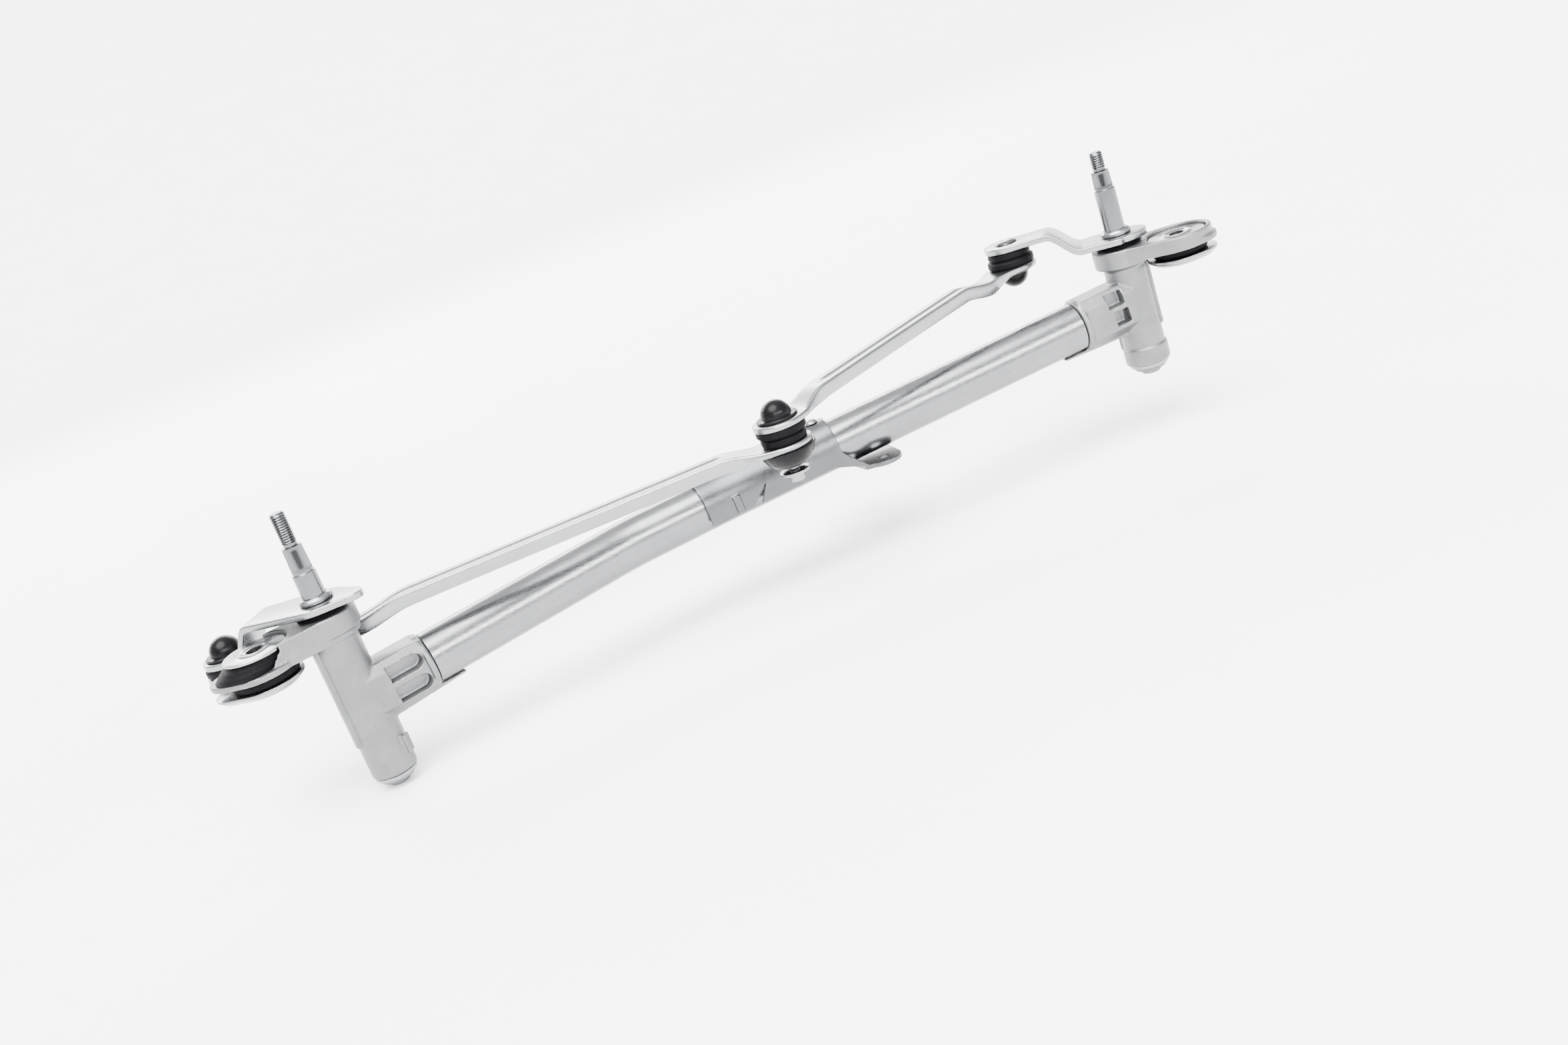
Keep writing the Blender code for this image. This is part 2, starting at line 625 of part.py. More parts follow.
def shaft_hardware(side):
    at, name = side["at"], side["name"]
    base = -side["barrel"]
    r_in = SHAFT_R + 0.1
    collar = washer("ring", r_in, 8.6, LEVER_T / 2.0 + GAP, LEVER_T / 2.0 + 3.4, at, 24, 0.7)
    finish(collar, name + "_collar", "zinc_steel")
    dust = [(r_in + 0.3, HEAD_TOP + 0.2), (12.5, HEAD_TOP + 0.2), (13.2, HEAD_TOP + 0.9)]
    dust += [(10.0, -LEVER_T / 2.0 - 0.25), (r_in + 0.3, -LEVER_T / 2.0 - 0.25)]
    finish(turned("seal", dust, at, 24), name + "_dust_seal", "rubber")
    thrust = washer("ring", r_in, 11.4, base - 1.8, base - 0.2, at, 28)
    finish(thrust, name + "_thrust_washer", "shaft_steel")
    wave = washer("ring", r_in, 10.4, base - 2.85, base - 2.0, at, 24)
    finish(wave, name + "_wave_washer", "zinc_steel")
    clip = washer("ring", 5.15, 9.0, base - 4.25, base - 3.1, at, 24)
    finish(clip, name + "_circlip", "shaft_steel")


def fixing(side):
    """Rubber grommet clipped into the ear, flanged steel sleeve and foot washer."""
    name = side["name"]
    ear = side["at"] + side["ear"]
    ear_low = HEAD_TOP - side["ear_t"]
    plate_top = ear_low + EAR_PLATE_T
    disc_top = HEAD_TOP - 1.6
    disc_low = disc_top - DISC_T
    r_in = SLEEVE_R + 0.15
    low = ear_low - 0.2 - GROMMET_FLANGE_T
    skirt_low, skirt_top = plate_top + 0.25, disc_low - 0.2
    levels = []
    wide = side["skirt_r"]
    for share, radius in ((1.0, wide - 0.3), (0.85, wide), (0.15, 15.0), (0.0, 14.4)):
        levels.append((skirt_top + (skirt_low - skirt_top) * share, radius, share))
    body = leaning_cone(ear, side["skirt"], levels)
    flange = side["flange_r"]
    profile = [(0.0, skirt_low + 0.8), (GROMMET_WAIST_R, skirt_low + 0.8)]
    profile += [(GROMMET_WAIST_R, ear_low - 0.2), (flange - 0.6, ear_low - 0.2)]
    profile += [(flange, ear_low - 0.9), (flange - 0.4, low + 0.5), (flange - 1.1, low), (0.0, low)]
    join(body, turned("grommet", profile, ear, 28))
    cut(body, cylinder(r_in, low - 2.0, disc_low + 2.0, ear, 24))
    finish(body, name + "_grommet", "rubber")

    foot_top = low - GAP
    foot_low = foot_top - FOOT_T
    profile = [(SLEEVE_BORE_R, disc_top), (SLEEVE_BORE_R, foot_low)]
    profile += [(SLEEVE_R, foot_low), (SLEEVE_R, disc_low), (DISC_R - 0.4, disc_low)]
    profile += [(DISC_R, disc_low + 0.4), (DISC_R, disc_top - 0.4), (DISC_R - 0.5, disc_top)]
    profile += [(9.0, disc_top), (8.2, disc_top + 0.7), (6.4, disc_top + 0.7), (5.6, disc_top)]
    finish(turned("sleeve", profile, ear, 24), name + "_sleeve", "zinc_steel")

    nose_r = FOOT_R - side["nose_step"]
    sections = []
    for height, inset in ((foot_low, 3.0), (foot_low + 2.6, 0.0), (foot_top, 0.0)):
        outline = oval(ear, side["nose"], FOOT_R - inset, nose_r - inset)
        sections.append([Vector((x, y, ear.z + height)) for x, y in outline])
    foot = cut(ladder(sections), cylinder(SLEEVE_R + 0.1, foot_low - 2.0, foot_top + 2.0, ear, 24))
    finish(foot, name + "_foot_washer", "zinc_steel")


# ---- frame tube ---------------------------------------------------------------------
def bent_path(corners, radius, steps_per_bend):
    """Polyline through the corners with each bend turned into an arc."""
    path = [corners[0]]
    for before, corner, after in zip(corners, corners[1:], corners[2:]):
        into = (corner - before).normalized()
        out = (after - corner).normalized()
        turn = into.angle(out)
        setback = radius * math.tan(turn / 2.0)
        start = corner - into * setback
        middle = (out - into).normalized()
        centre = corner + middle * (radius / math.cos(turn / 2.0))
        axis = into.cross(out).normalized()
        for i in range(steps_per_bend + 1):
            rotation = Matrix.Rotation(turn * i / steps_per_bend, 4, axis)
            path.append(centre + rotation @ (start - centre))
    path.append(corners[-1])
    return path


def tube_corners():
    ends = [tube_frame(side) @ Vector((ROOT_LENGTH, 0.0, 0.0)) for side in (LEFT, RIGHT)]
    return [ends[0], TUBE_BEND_1, TUBE_BEND_2, ends[1]]


def frame_tube():
    corners = tube_corners()
    path = bent_path(corners, TUBE_BEND_R, BEND_STEPS)
    segments = 32
    rings = {TUBE_R: [], TUBE_R - TUBE_WALL: []}
    up = Vector((0.0, 0.0, 1.0))
    for i, point in enumerate(path):
        tangent = path[min(i + 1, len(path) - 1)] - path[max(i - 1, 0)]
        if i == 0:
            tangent = corners[1] - corners[0]
        if i == len(path) - 1:
            tangent = corners[-1] - corners[-2]
        tangent.normalize()
        across = up.cross(tangent).normalized()
        rise = tangent.cross(across)
        for radius, store in rings.items():
            ring = []
            for k in range(segments):
                a = 2.0 * math.pi * k / segments
                ring.append(point + (across * math.cos(a) + rise * math.sin(a)) * radius)
            store.append(ring)
    outer, inner = rings[TUBE_R], rings[TUBE_R - TUBE_WALL]
    loops = outer + inner[::-1]
    verts = [p for ring in loops for p in ring]
    faces = []
    count = len(loops)
    for k in range(count):
        a, b = k * segments, ((k + 1) % count) * segments
        for i in range(segments):
            j = (i + 1) % segments
            faces.append([a + i, a + j, b + j, b + i])
    obj = new_object("tube", verts, faces)
    return finish(obj, "frame_tube", "tube_steel")


# ---- motor bracket ------------------------------------------------------------------
def saddle_frame():
    """Matrix at the second bend, X along the tube towards the right housing."""
    x_axis = (TUBE_RIGHT - TUBE_BEND_2).normalized()
    y_axis = Vector((0.0, 0.0, 1.0)).cross(x_axis).normalized()
    z_axis = x_axis.cross(y_axis)
    rotation = Matrix((x_axis, y_axis, z_axis)).transposed().to_4x4()
    return Matrix.Translation(TUBE_BEND_2) @ rotation


def saddle_sections(section):
    """The saddle's outline carried along the tube, through its second bend."""
    bend = bent_path(tube_corners(), TUBE_BEND_R, BEND_STEPS)[BEND_STEPS + 2:-1]
    before = (TUBE_BEND_2 - TUBE_BEND_1).normalized()
    after = (tube_corners()[-1] - TUBE_BEND_2).normalized()
    points = [TUBE_BEND_2 - before * SADDLE_BEFORE] + bend + [TUBE_BEND_2 + after * SADDLE_AFTER]
    sections = []
    for i, point in enumerate(points):
        tangent = points[min(i + 1, len(points) - 1)] - points[max(i - 1, 0)]
        if 0 < i < len(points) - 1:
            tangent = before.lerp(after, (i - 1) / BEND_STEPS)
        across = Vector((0.0, 0.0, 1.0)).cross(tangent.normalized()).normalized()
        rise = tangent.normalized().cross(across)
        sections.append([point + across * y + rise * z for y, z in section])
    return sections


def upright(outline, y0, y1):
    """Plate drawn in the saddle's side view (x along the tube, z up) between two depths."""
    tool = slab(outline, -y1, -y0)
    return placed(placed(tool, Matrix.Rotation(math.radians(90.0), 4, "X")), saddle_frame())


def motor_bracket():
    """Stamped bracket: a saddle over the tube, two tabs and a motor plate under it."""
    inner = TUBE_R + GAP
    outer = inner + SADDLE_T
    section = [(-inner * math.cos(a), inner * math.sin(a)) for a in steps(0.0, math.pi, 12)]
    section += [(inner, -6.0), (outer, -6.0)]
    section += [(outer * math.cos(a), outer * math.sin(a)) for a in steps(0.0, math.pi, 12)]
    section += [(-outer, -8.0), (-inner, -8.0)]
    body = ladder(saddle_sections(section))
    rib = placed(block(4.0, 8.0, -outer - 1.4, -outer + 0.8, -7.2, 2.6), saddle_frame())
    join(body, rib)

    # tabs from the saddle's walls down to the motor plate
    front = [(44.0, -7.0), (44.0, -1.0), (69.5, -1.0), (82.0, -15.8), (64.0, -8.4)]
    back = [(50.0, -1.0), (69.5, -1.0), (82.0, -15.8), (72.0, -15.8)]
    join(body, upright(front, -outer, -inner), upright(back, inner, outer))

    # motor plate: a lug in front of the tube, a ring for the motor's neck behind it
    outline = [(291.5, 30.0), (294.0, 1.6)]
    outline += arc((LUG.x, LUG.y), LUG_R, math.radians(215.0), math.radians(360.0), 12)
    outline += [(LUG.x + LUG_R + 1.5, 30.0)]
    outline += arc((HUB.x, HUB.y), HUB_R, math.radians(-35.0), math.radians(218.0), 20)
    join(body, slab(outline, PLATE_TOP - PLATE_T, PLATE_TOP))
    low, high = PLATE_TOP - 8.0, PLATE_TOP + 5.0
    cut(body, cylinder(HUB_HOLE_R, low, high, HUB, 28), cylinder(SCREW_R, low, high, LUG, 20))
    for angle in SCREW_ANGLES:
        a = math.radians(angle)
        spot = HUB + Vector((math.cos(a), math.sin(a), 0.0)) * SCREW_CIRCLE_R
        cut(body, cylinder(SCREW_R, low, high, spot, 16))
    notch = [(12.5, -9.0), (18.0, -9.0), (24.5, 1.5), (22.5, 1.5)]
    cut(body, upright(notch, -outer - 2.0, -inner + 3.0))
    return finish(body, "motor_bracket", "zinc_steel")


def bracket_rivets():
    """Two rivets through the saddle's top; their heads show, their shanks stay short."""
    inner = TUBE_R + GAP
    outer = inner + SADDLE_T
    for i, x in enumerate(RIVETS_AT):
        profile = [(0.0, outer + 2.2), (2.2, outer + 1.9), (3.6, outer + 0.9)]
        profile += [(3.8, outer + 0.25), (0.0, outer + 0.25)]
        head = turned("rivet", profile, (x, 0.0, 0.0), 20)
        placed(head, saddle_frame())
        finish(head, "bracket_rivet_%d" % (i + 1), "zinc_steel")


# ---- drive socket and its stud ---------------------------------------------------------
def drive_socket():
    """Deep moulded socket under the left link, snapped over the drive stud's ball."""
    top = LINK_B_Z - LINK_T / 2.0 - 0.3
    inner = DRIVE_BALL_R + 0.35
    profile = [(0.0, top), (15.0, top), (15.4, top - 0.5), (15.2, top - 1.2), (14.2, top - 3.2)]
    profile += [(12.6, top - 6.0), (10.6, top - 8.4), (9.0, top - 9.4), (4.7, top - 9.4)]
    mouth = math.acos(-3.1 / inner)
    centre = DRIVE_BALL_Z
    bowl = [(inner * math.sin(a), centre + inner * math.cos(a)) for a in steps(mouth, 0.0, 5)]
    bowl[-1] = (0.0, centre + inner)
    obj = turned("socket", profile + bowl, (PIN[0], PIN[1], 0.0), 24)
    finish(obj, "drive_socket", "black_plastic")

    # the loose stud that joins the linkage to its motor
    r, z = DRIVE_BALL_R, DRIVE_BALL_Z
    profile = [(r * math.sin(a), z + r * math.cos(a)) for a in steps(0.0, math.radians(148.0), 7)]
    profile[0] = (0.0, z + r)
    profile += [(2.8, -24.6), (7.6, -25.2), (8.2, -25.8), (8.2, -27.0), (4.2, -27.2)]
    profile += [(4.2, -31.0), (3.6, -31.6), (0.0, -31.6)]
    finish(turned("stud", profile, (PIN[0], PIN[1], 0.0), 24), "drive_stud", "shaft_steel")


def ball_joints():
    drop_ball = LEFT["drop"] + LEVER_T / 2.0 + 1.8
    socket("left_socket", drop_ball, LEFT_BALL, LEVER_T)
    face = -1.8 - LEVER_T - SEAL_SHORT
    stud("left_stud", drop_ball, LEFT_BALL, face, LINK_T, True)
    seal("left_seal", LEFT["drop"] - LEVER_T / 2.0, LEFT_BALL, SEAL_SHORT)
    left_link_z = drop_ball + face - LINK_T / 2.0

    centre_ball = LINK_A_Z + LINK_T / 2.0 + 1.8
    face = -1.8 - LINK_T - SEAL_TALL
    socket("centre_socket", centre_ball, PIN, LINK_T)
    stud("centre_stud", centre_ball, PIN, face, LINK_T, False)
    seal("centre_seal", LINK_A_Z - LINK_T / 2.0, PIN, SEAL_TALL)

    lever_face = RIGHT_RISE + RIGHT["drop"] - LEVER_T / 2.0
    right_ball = lever_face + face
    socket("right_socket", right_ball, RIGHT_BALL, LINK_T, True)
    stud("right_stud", right_ball, RIGHT_BALL, face, LEVER_T, True, BALL_R, True)
    right_link_z = right_ball + 1.8 + LINK_T / 2.0
    seal("right_seal", right_link_z + LINK_T / 2.0, RIGHT_BALL, SEAL_TALL, True)
    drive_socket()

    start = (PIN[0], PIN[1], LINK_B_Z)
    end = (LEFT_BALL[0], LEFT_BALL[1], left_link_z)
    link("left_link", start, end, STUD_HOLE_R, STUD_HOLE_R, 4.5, (11.0, 36.0), (66.0, 96.0))
    start = (PIN[0], PIN[1], LINK_A_Z)
    end = (RIGHT_BALL[0], RIGHT_BALL[1], right_link_z)
    link("right_link", start, end, SOCKET_HOLE_R, SOCKET_HOLE_R, 5.0, (11.0, 31.0), (26.0, 50.0))


def main():
    for old in list(bpy.data.objects):
        bpy.data.objects.remove(old)
    for slot_name, finish_values in FINISHES.items():
        MATERIALS[slot_name] = material(slot_name, *finish_values)
    frame_tube()
    motor_bracket()
    bracket_rivets()
    for side in (LEFT, RIGHT):
        housing(side)
        bushes(side)
        shaft(side)
        shaft_hardware(side)
        fixing(side)
        lever(side)
    ball_joints()


MATERIALS = {}
main()
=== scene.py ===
import math

import bmesh
import bpy
from mathutils import Matrix, Vector


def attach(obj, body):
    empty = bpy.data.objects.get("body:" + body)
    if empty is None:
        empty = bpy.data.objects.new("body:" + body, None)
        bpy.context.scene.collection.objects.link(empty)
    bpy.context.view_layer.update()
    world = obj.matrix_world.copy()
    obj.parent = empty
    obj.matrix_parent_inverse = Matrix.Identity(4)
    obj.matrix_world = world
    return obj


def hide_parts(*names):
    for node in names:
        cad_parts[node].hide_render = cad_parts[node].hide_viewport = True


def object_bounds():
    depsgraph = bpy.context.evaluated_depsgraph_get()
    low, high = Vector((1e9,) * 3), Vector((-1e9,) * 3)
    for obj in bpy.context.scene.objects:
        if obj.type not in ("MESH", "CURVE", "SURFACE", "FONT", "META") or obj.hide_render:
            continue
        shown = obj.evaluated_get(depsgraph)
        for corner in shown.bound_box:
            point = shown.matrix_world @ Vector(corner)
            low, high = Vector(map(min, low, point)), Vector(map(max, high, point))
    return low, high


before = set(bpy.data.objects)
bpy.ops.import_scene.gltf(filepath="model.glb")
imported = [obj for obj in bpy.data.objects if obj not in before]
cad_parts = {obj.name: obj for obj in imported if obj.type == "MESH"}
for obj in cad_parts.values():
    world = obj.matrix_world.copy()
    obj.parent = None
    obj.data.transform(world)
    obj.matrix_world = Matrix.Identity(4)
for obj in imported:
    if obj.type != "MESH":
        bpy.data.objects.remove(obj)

CAD_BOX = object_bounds()

# ---- part's own measures, in millimetres from the left shaft's lever plane -------------
MM = 0.001
ORIGIN = Vector((-36.0, -8.0, -26.8))    # centre of the left foot washer's underside
TO_ROW = Matrix.Scale(MM, 4) @ Matrix.Translation(-ORIGIN)
GAP, FIT = 0.3, 0.1                      # clearance beside a piece; running fit on a shaft
ROUND = 96                               # facets of a full turn
HOUSING_VOXEL, GROMMET_VOXEL, BRACKET_VOXEL = 0.55, 0.42, 0.45

# layout
SPACING, RIGHT_RISE, REACH_LENGTH = 480.0, 12.0, 61.0
LEVER_ANGLE = math.radians(148.0)
PIN = Vector((244.2, -35.0, 0.0))
REACH = Vector((math.cos(LEVER_ANGLE), math.sin(LEVER_ANGLE), 0.0)) * REACH_LENGTH
LEFT_BALL = REACH.copy()
RIGHT_BALL = Vector((SPACING, 0.0, 0.0)) + REACH

# frame tube
TUBE_R, TUBE_WALL, TUBE_BEND_R, BEND_STEPS = 13.75, 1.5, 120.0, 20
TUBE_LEFT = Vector((0.0, 0.0, -53.2))
TUBE_BEND_1 = Vector((159.0, 26.0, -45.1))
TUBE_BEND_2 = Vector((216.0, 26.0, -42.5))
TUBE_RIGHT = Vector((SPACING, 0.0, RIGHT_RISE - 37.4))

# housings, wiper shafts and fixings
ROOT_LENGTH, ROOT_HALF_W, ROOT_LOW, ROOT_HIGH = 38.0, 12.0, -14.6, 14.0
BARREL_R, BORE_R, HEAD_R, HEAD_TOP = 12.0, 8.0, 16.0, -4.9
SHAFT_R, SHAFT_TIP, THREAD_R = 6.0, 50.0, 4.0
THREAD_PITCH, THREAD_DEPTH = 1.25, 0.62
KNURL_TEETH, KNURL_DEPTH = 56, 0.28
BUSH_RUN, BUSH_LENGTH, COLLAR_H = 0.06, 20.0, 3.4
EAR_PLATE_T, GROMMET_HOLE_R, FLANGE_T, FOOT_T, DISC_T = 3.2, 9.9, 4.0, 4.0, 1.5
DISC_R, SLEEVE_BORE_R, FOOT_R = 16.0, 4.2, 18.5

# levers and link rods
LEVER_T, LEVER_HUB_R, LEVER_END_R, LEVER_EDGE_R = 3.5, 15.5, 13.0, 0.7
LEVER_WIDE, LEVER_TAPER, LEVER_BLEND = 14.5, 3.0, 14.0
LINK_T, LINK_A_Z, LINK_B_Z = 3.0, 1.6, -10.9
LINK_PAD_R, LINK_HALF_W, LINK_WAIST, LINK_FLARE, LINK_FLAT = 14.0, 8.0, 1.2, 26.0, 12.0
LINK_WALL_H, LINK_WALL_T, LINK_BEAD_H, LINK_EDGE_R = 4.4, 2.2, 0.9, 1.3

# ball joints
BALL_R, BALL_LIFT, BALL_PLAY = 6.5, 1.8, 0.35    # lift: above the plate; play: to the socket
SOCKET_HOLE_R, STUD_HOLE_R = 9.2, 4.6
SEAL_TALL, SEAL_SHORT = 9.5, 4.9
DRIVE_BALL_R, DRIVE_BALL_Z = 5.0, -18.7

# motor bracket
SADDLE_T, SADDLE_BEFORE, SADDLE_AFTER = 2.5, 13.0, 70.0
PLATE_TOP, PLATE_T = -52.1, 2.5
LUG, LUG_R = Vector((307.0, 4.7, 0.0)), 10.0
HUB, HUB_R, HUB_HOLE_R = Vector((303.0, 58.0, 0.0)), 22.0, 11.0
SCREW_R, SCREW_CIRCLE_R, SCREW_ANGLES = 3.0, 16.5, (30.0, 150.0)
RIVETS_AT = (42.0, SADDLE_AFTER - 7.0)

# what differs between the two ends
LEFT = {
    "name": "left", "at": Vector((0.0, 0.0, 0.0)), "barrel": 96.0, "shoulder": 18.0,
    "cone_end": 32.0, "ear": Vector((-36.0, -8.0, 0.0)), "ear_t": 13.6, "arm_r": 15.0,
    "ring_r": 18.5, "drop": -15.5, "bend": (37.0, 49.0), "tube": (TUBE_LEFT, TUBE_BEND_1),
    "nose": Vector((-13.0, 3.0, 0.0)), "nose_step": 5.5, "skirt": Vector((-6.0, 0.0, 0.0)),
    "flange_r": 17.0, "tail": 25.0, "tip_r": 7.0, "skirt_r": 17.2, "foot_step": 0.0,
    "pockets": ((15.0, 33.6, 5.9), (15.0, 33.6, -5.9)), "pocket_half": 4.3,
    "lug_turn": -35.0, "rib_turn": 205.0,
}
RIGHT = {
    "name": "right", "at": Vector((SPACING, 0.0, RIGHT_RISE)), "barrel": 75.0,
    "shoulder": 29.0, "cone_end": 39.0, "ear": Vector((25.5, -19.5, 0.0)), "ear_t": 8.4,
    "arm_r": 19.5, "ring_r": 19.5, "drop": 13.0, "bend": (20.0, 38.0),
    "tube": (TUBE_RIGHT, TUBE_BEND_2), "nose": Vector((4.0, -3.0, 0.0)), "nose_step": 3.0,
    "skirt": Vector((0.0, 0.0, 0.0)), "flange_r": 15.6, "tail": 17.0, "tip_r": 13.5, "skirt_r": 15.5,
    "foot_step": 0.9, "pockets": ((10.5, 20.5, 7.5), (9.5, 18.5, -3.5)), "pocket_half": 4.2,
    "lug_turn": 120.0, "rib_turn": -28.0,
}


# ---- materials ---------------------------------------------------------------------
def nodes_of(name):
    """A new material with its node tree and its shader."""
    mat = bpy.data.materials.new(name)
    mat.use_nodes = True
    tree = mat.node_tree
    return mat, tree, tree.nodes["Principled BSDF"]


def add(tree, kind, **values):
    node = tree.nodes.new(kind)
    for key, value in values.items():
        setattr(node, key, value)
    return node


def stretched_noise(tree, stretch, scale, detail=5.0, rough=0.6):
    coords = add(tree, "ShaderNodeTexCoord")
    mapping = add(tree, "ShaderNodeMapping")
    mapping.inputs["Scale"].default_value = stretch
    tree.links.new(coords.outputs["Object"], mapping.inputs["Vector"])
    tex = add(tree, "ShaderNodeTexNoise")
    tex.inputs["Scale"].default_value = scale
    tex.inputs["Detail"].default_value = detail
    tex.inputs["Roughness"].default_value = rough
    tree.links.new(mapping.outputs["Vector"], tex.inputs["Vector"])
    return tex.outputs["Fac"]


def ramp(tree, value, stops):
    node = add(tree, "ShaderNodeValToRGB")
    elements = node.color_ramp.elements
    while len(elements) < len(stops):
        elements.new(0.5)
    for element, (place, colour) in zip(elements, stops):
        element.position = place
        element.color = (*colour, 1.0)
    tree.links.new(value, node.inputs["Fac"])
    return node.outputs["Color"]


def spread(tree, value, low, high, from_low=0.3, from_high=0.7):
    node = add(tree, "ShaderNodeMapRange")
    for key, number in (("From Min", from_low), ("From Max", from_high), ("To Min", low), ("To Max", high)):
        node.inputs[key].default_value = number
    tree.links.new(value, node.inputs["Value"])
    return node.outputs["Result"]


def mixed(tree, share, first, second, kind="MIX"):
    node = add(tree, "ShaderNodeMix", data_type="RGBA", blend_type=kind)
    for socket, value in ((node.inputs[0], share), (node.inputs[6], first), (node.inputs[7], second)):
        if isinstance(value, (int, float)):
            socket.default_value = value
        elif isinstance(value, tuple):
            socket.default_value = (*value, 1.0)
        else:
            tree.links.new(value, socket)
    return node.outputs[2]


def scaled(colour, k):
    return tuple(min(c * k, 1.0) for c in colour)


def surface(name, colour, metallic, rough, grain, blotch=0.1, bump=0.1, spots=None, edge=0.0, specular=0.5):
    """Layered finish. grain is (stretch, scale, roughness swing); edge lightens worn edges."""
    mat, tree, shader = nodes_of(name)
    shader.inputs["Metallic"].default_value = metallic
    shader.inputs["Specular IOR Level"].default_value = specular
    stretch, scale, swing = grain
    fine = stretched_noise(tree, stretch, scale)
    broad = stretched_noise(tree, (1.0, 1.0, 1.0), 55.0, 3.0)
    tone = ramp(tree, broad, [(0.3, scaled(colour, 1.0 - blotch)), (0.7, scaled(colour, 1.0 + blotch))])
    streak = ramp(tree, fine, [(0.3, (0.86, 0.86, 0.87)), (0.7, (1.0, 1.0, 1.0))])
    tone = mixed(tree, 0.6, tone, streak, "MULTIPLY")
    if spots is not None:
        spot_colour, spot_scale, share = spots
        mask = spread(tree, stretched_noise(tree, (1, 1, 1), spot_scale, 8.0, 0.7), 0.0, share, 0.55, 0.72)
        tone = mixed(tree, mask, tone, spot_colour)
    if edge > 0.0:
        geometry = add(tree, "ShaderNodeNewGeometry")
        mask = spread(tree, geometry.outputs["Pointiness"], 0.0, edge, 0.51, 0.58)
        tone = mixed(tree, mask, tone, scaled(colour, 1.5 if metallic > 0.5 else 3.0))
    tree.links.new(tone, shader.inputs["Base Color"])
    tree.links.new(spread(tree, fine, rough - swing, rough + swing), shader.inputs["Roughness"])
    node = add(tree, "ShaderNodeBump")
    node.inputs["Strength"].default_value = bump
    node.inputs["Distance"].default_value = 0.0004
    tree.links.new(fine, node.inputs["Height"])
    tree.links.new(node.outputs["Normal"], shader.inputs["Normal"])
    return mat


EVEN = (1.0, 1.0, 1.0)
MATERIALS = {
    "cast": surface("die_cast_aluminium", (0.145, 0.147, 0.150), 0.9, 0.42, (EVEN, 900.0, 0.10), 0.12, 0.35,
                    ((0.09, 0.09, 0.093), 160.0, 0.5), 0.5),
    "sheet": surface("zinc_plated_sheet", (0.225, 0.229, 0.235), 1.0, 0.28,
                     ((40.0, 260.0, 260.0), 8.0, 0.08), 0.07, 0.10,
                     ((0.16, 0.165, 0.17), 90.0, 0.35), 0.35),
    # shaded copy of the zinc sheet finish: the same plating darkened to paint shade onto the bracket
    "bracket": surface("zinc_sheet_painted_shade", (0.09, 0.093, 0.097), 1.0, 0.33,
                       ((40.0, 260.0, 260.0), 8.0, 0.08), 0.10, 0.14,
                       ((0.075, 0.078, 0.082), 90.0, 0.5), 0.5),
    "tube": surface("drawn_tube_steel", (0.175, 0.178, 0.183), 1.0, 0.25,
                    ((4.0, 220.0, 220.0), 9.0, 0.07), 0.06, 0.12,
                    ((0.12, 0.12, 0.124), 45.0, 0.3), 0.0),
    "turned": surface("zinc_turned_steel", (0.225, 0.229, 0.235), 1.0, 0.24,
                      ((30.0, 30.0, 900.0), 6.0, 0.07), 0.05, 0.10, None, 0.4),
    "shaft": surface("ground_shaft_steel", (0.115, 0.118, 0.123), 1.0, 0.17,
                     ((20.0, 20.0, 1600.0), 5.0, 0.05), 0.05, 0.06,
                     ((0.06, 0.059, 0.057), 220.0, 0.3), 0.3),
    "bronze": surface("sintered_bronze", (0.20, 0.125, 0.06), 1.0, 0.38, (EVEN, 1500.0, 0.08), 0.15, 0.3,
                      ((0.10, 0.062, 0.034), 700.0, 0.6), 0.2),
    "plastic": surface("moulded_acetal", (0.003, 0.003, 0.0034), 0.0, 0.26, (EVEN, 1200.0, 0.07), 0.15, 0.12,
                       None, 0.3, 0.08),
    "rubber": surface("moulded_rubber", (0.0035, 0.0035, 0.004), 0.0, 0.50, (EVEN, 1800.0, 0.10), 0.2, 0.35,
                      ((0.008, 0.008, 0.0085), 240.0, 0.5), 0.2, 0.03),
}


# ---- mesh helpers --------------------------------------------------------------------
def mesh_object(name, verts, faces):
    """Welded object with outward faces."""
    mesh = bpy.data.meshes.new(name)
    mesh.from_pydata([tuple(v) for v in verts], [], faces)
    bm = bmesh.new()
    bm.from_mesh(mesh)
    bmesh.ops.remove_doubles(bm, verts=bm.verts, dist=0.0004)
    bmesh.ops.recalc_face_normals(bm, faces=bm.faces)
    bm.to_mesh(mesh)
    bm.free()
    obj = bpy.data.objects.new(name, mesh)
    bpy.context.scene.collection.objects.link(obj)
    return obj


def shade(obj, angle=32.0):
    """Smooth shading with sharp edges past the angle."""
    bm = bmesh.new()
    bm.from_mesh(obj.data)
    limit = math.radians(angle)
    for face in bm.faces:
        face.smooth = True
    for edge in bm.edges:
        edge.smooth = len(edge.link_faces) == 2 and edge.calc_face_angle(0.0) < limit
    bm.to_mesh(obj.data)
    bm.free()


def place(obj, name, body, finish, slot, nodes=(), angle=32.0):
    """Bring a piece made in millimetres into the row frame and hand it to its body."""
    obj.data.transform(TO_ROW)
    obj.name = obj.data.name = name
    obj.data.materials.clear()
    obj.data.materials.append(MATERIALS[finish])
    shade(obj, angle)
    if nodes:
        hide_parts(*nodes)
    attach(obj, body)


def ladder(sections):
    """Closed body through a row of equal outlines."""
    n = len(sections[0])
    verts = [p for section in sections for p in section]
    faces = []
    for k in range(len(sections) - 1):
        for i in range(n):
            j = (i + 1) % n
            faces.append([k * n + i, k * n + j, (k + 1) * n + j, (k + 1) * n + i])
    faces.append(list(range(n)))
    faces.append([(len(sections) - 1) * n + i for i in range(n)])
    return mesh_object("tool", verts, faces)


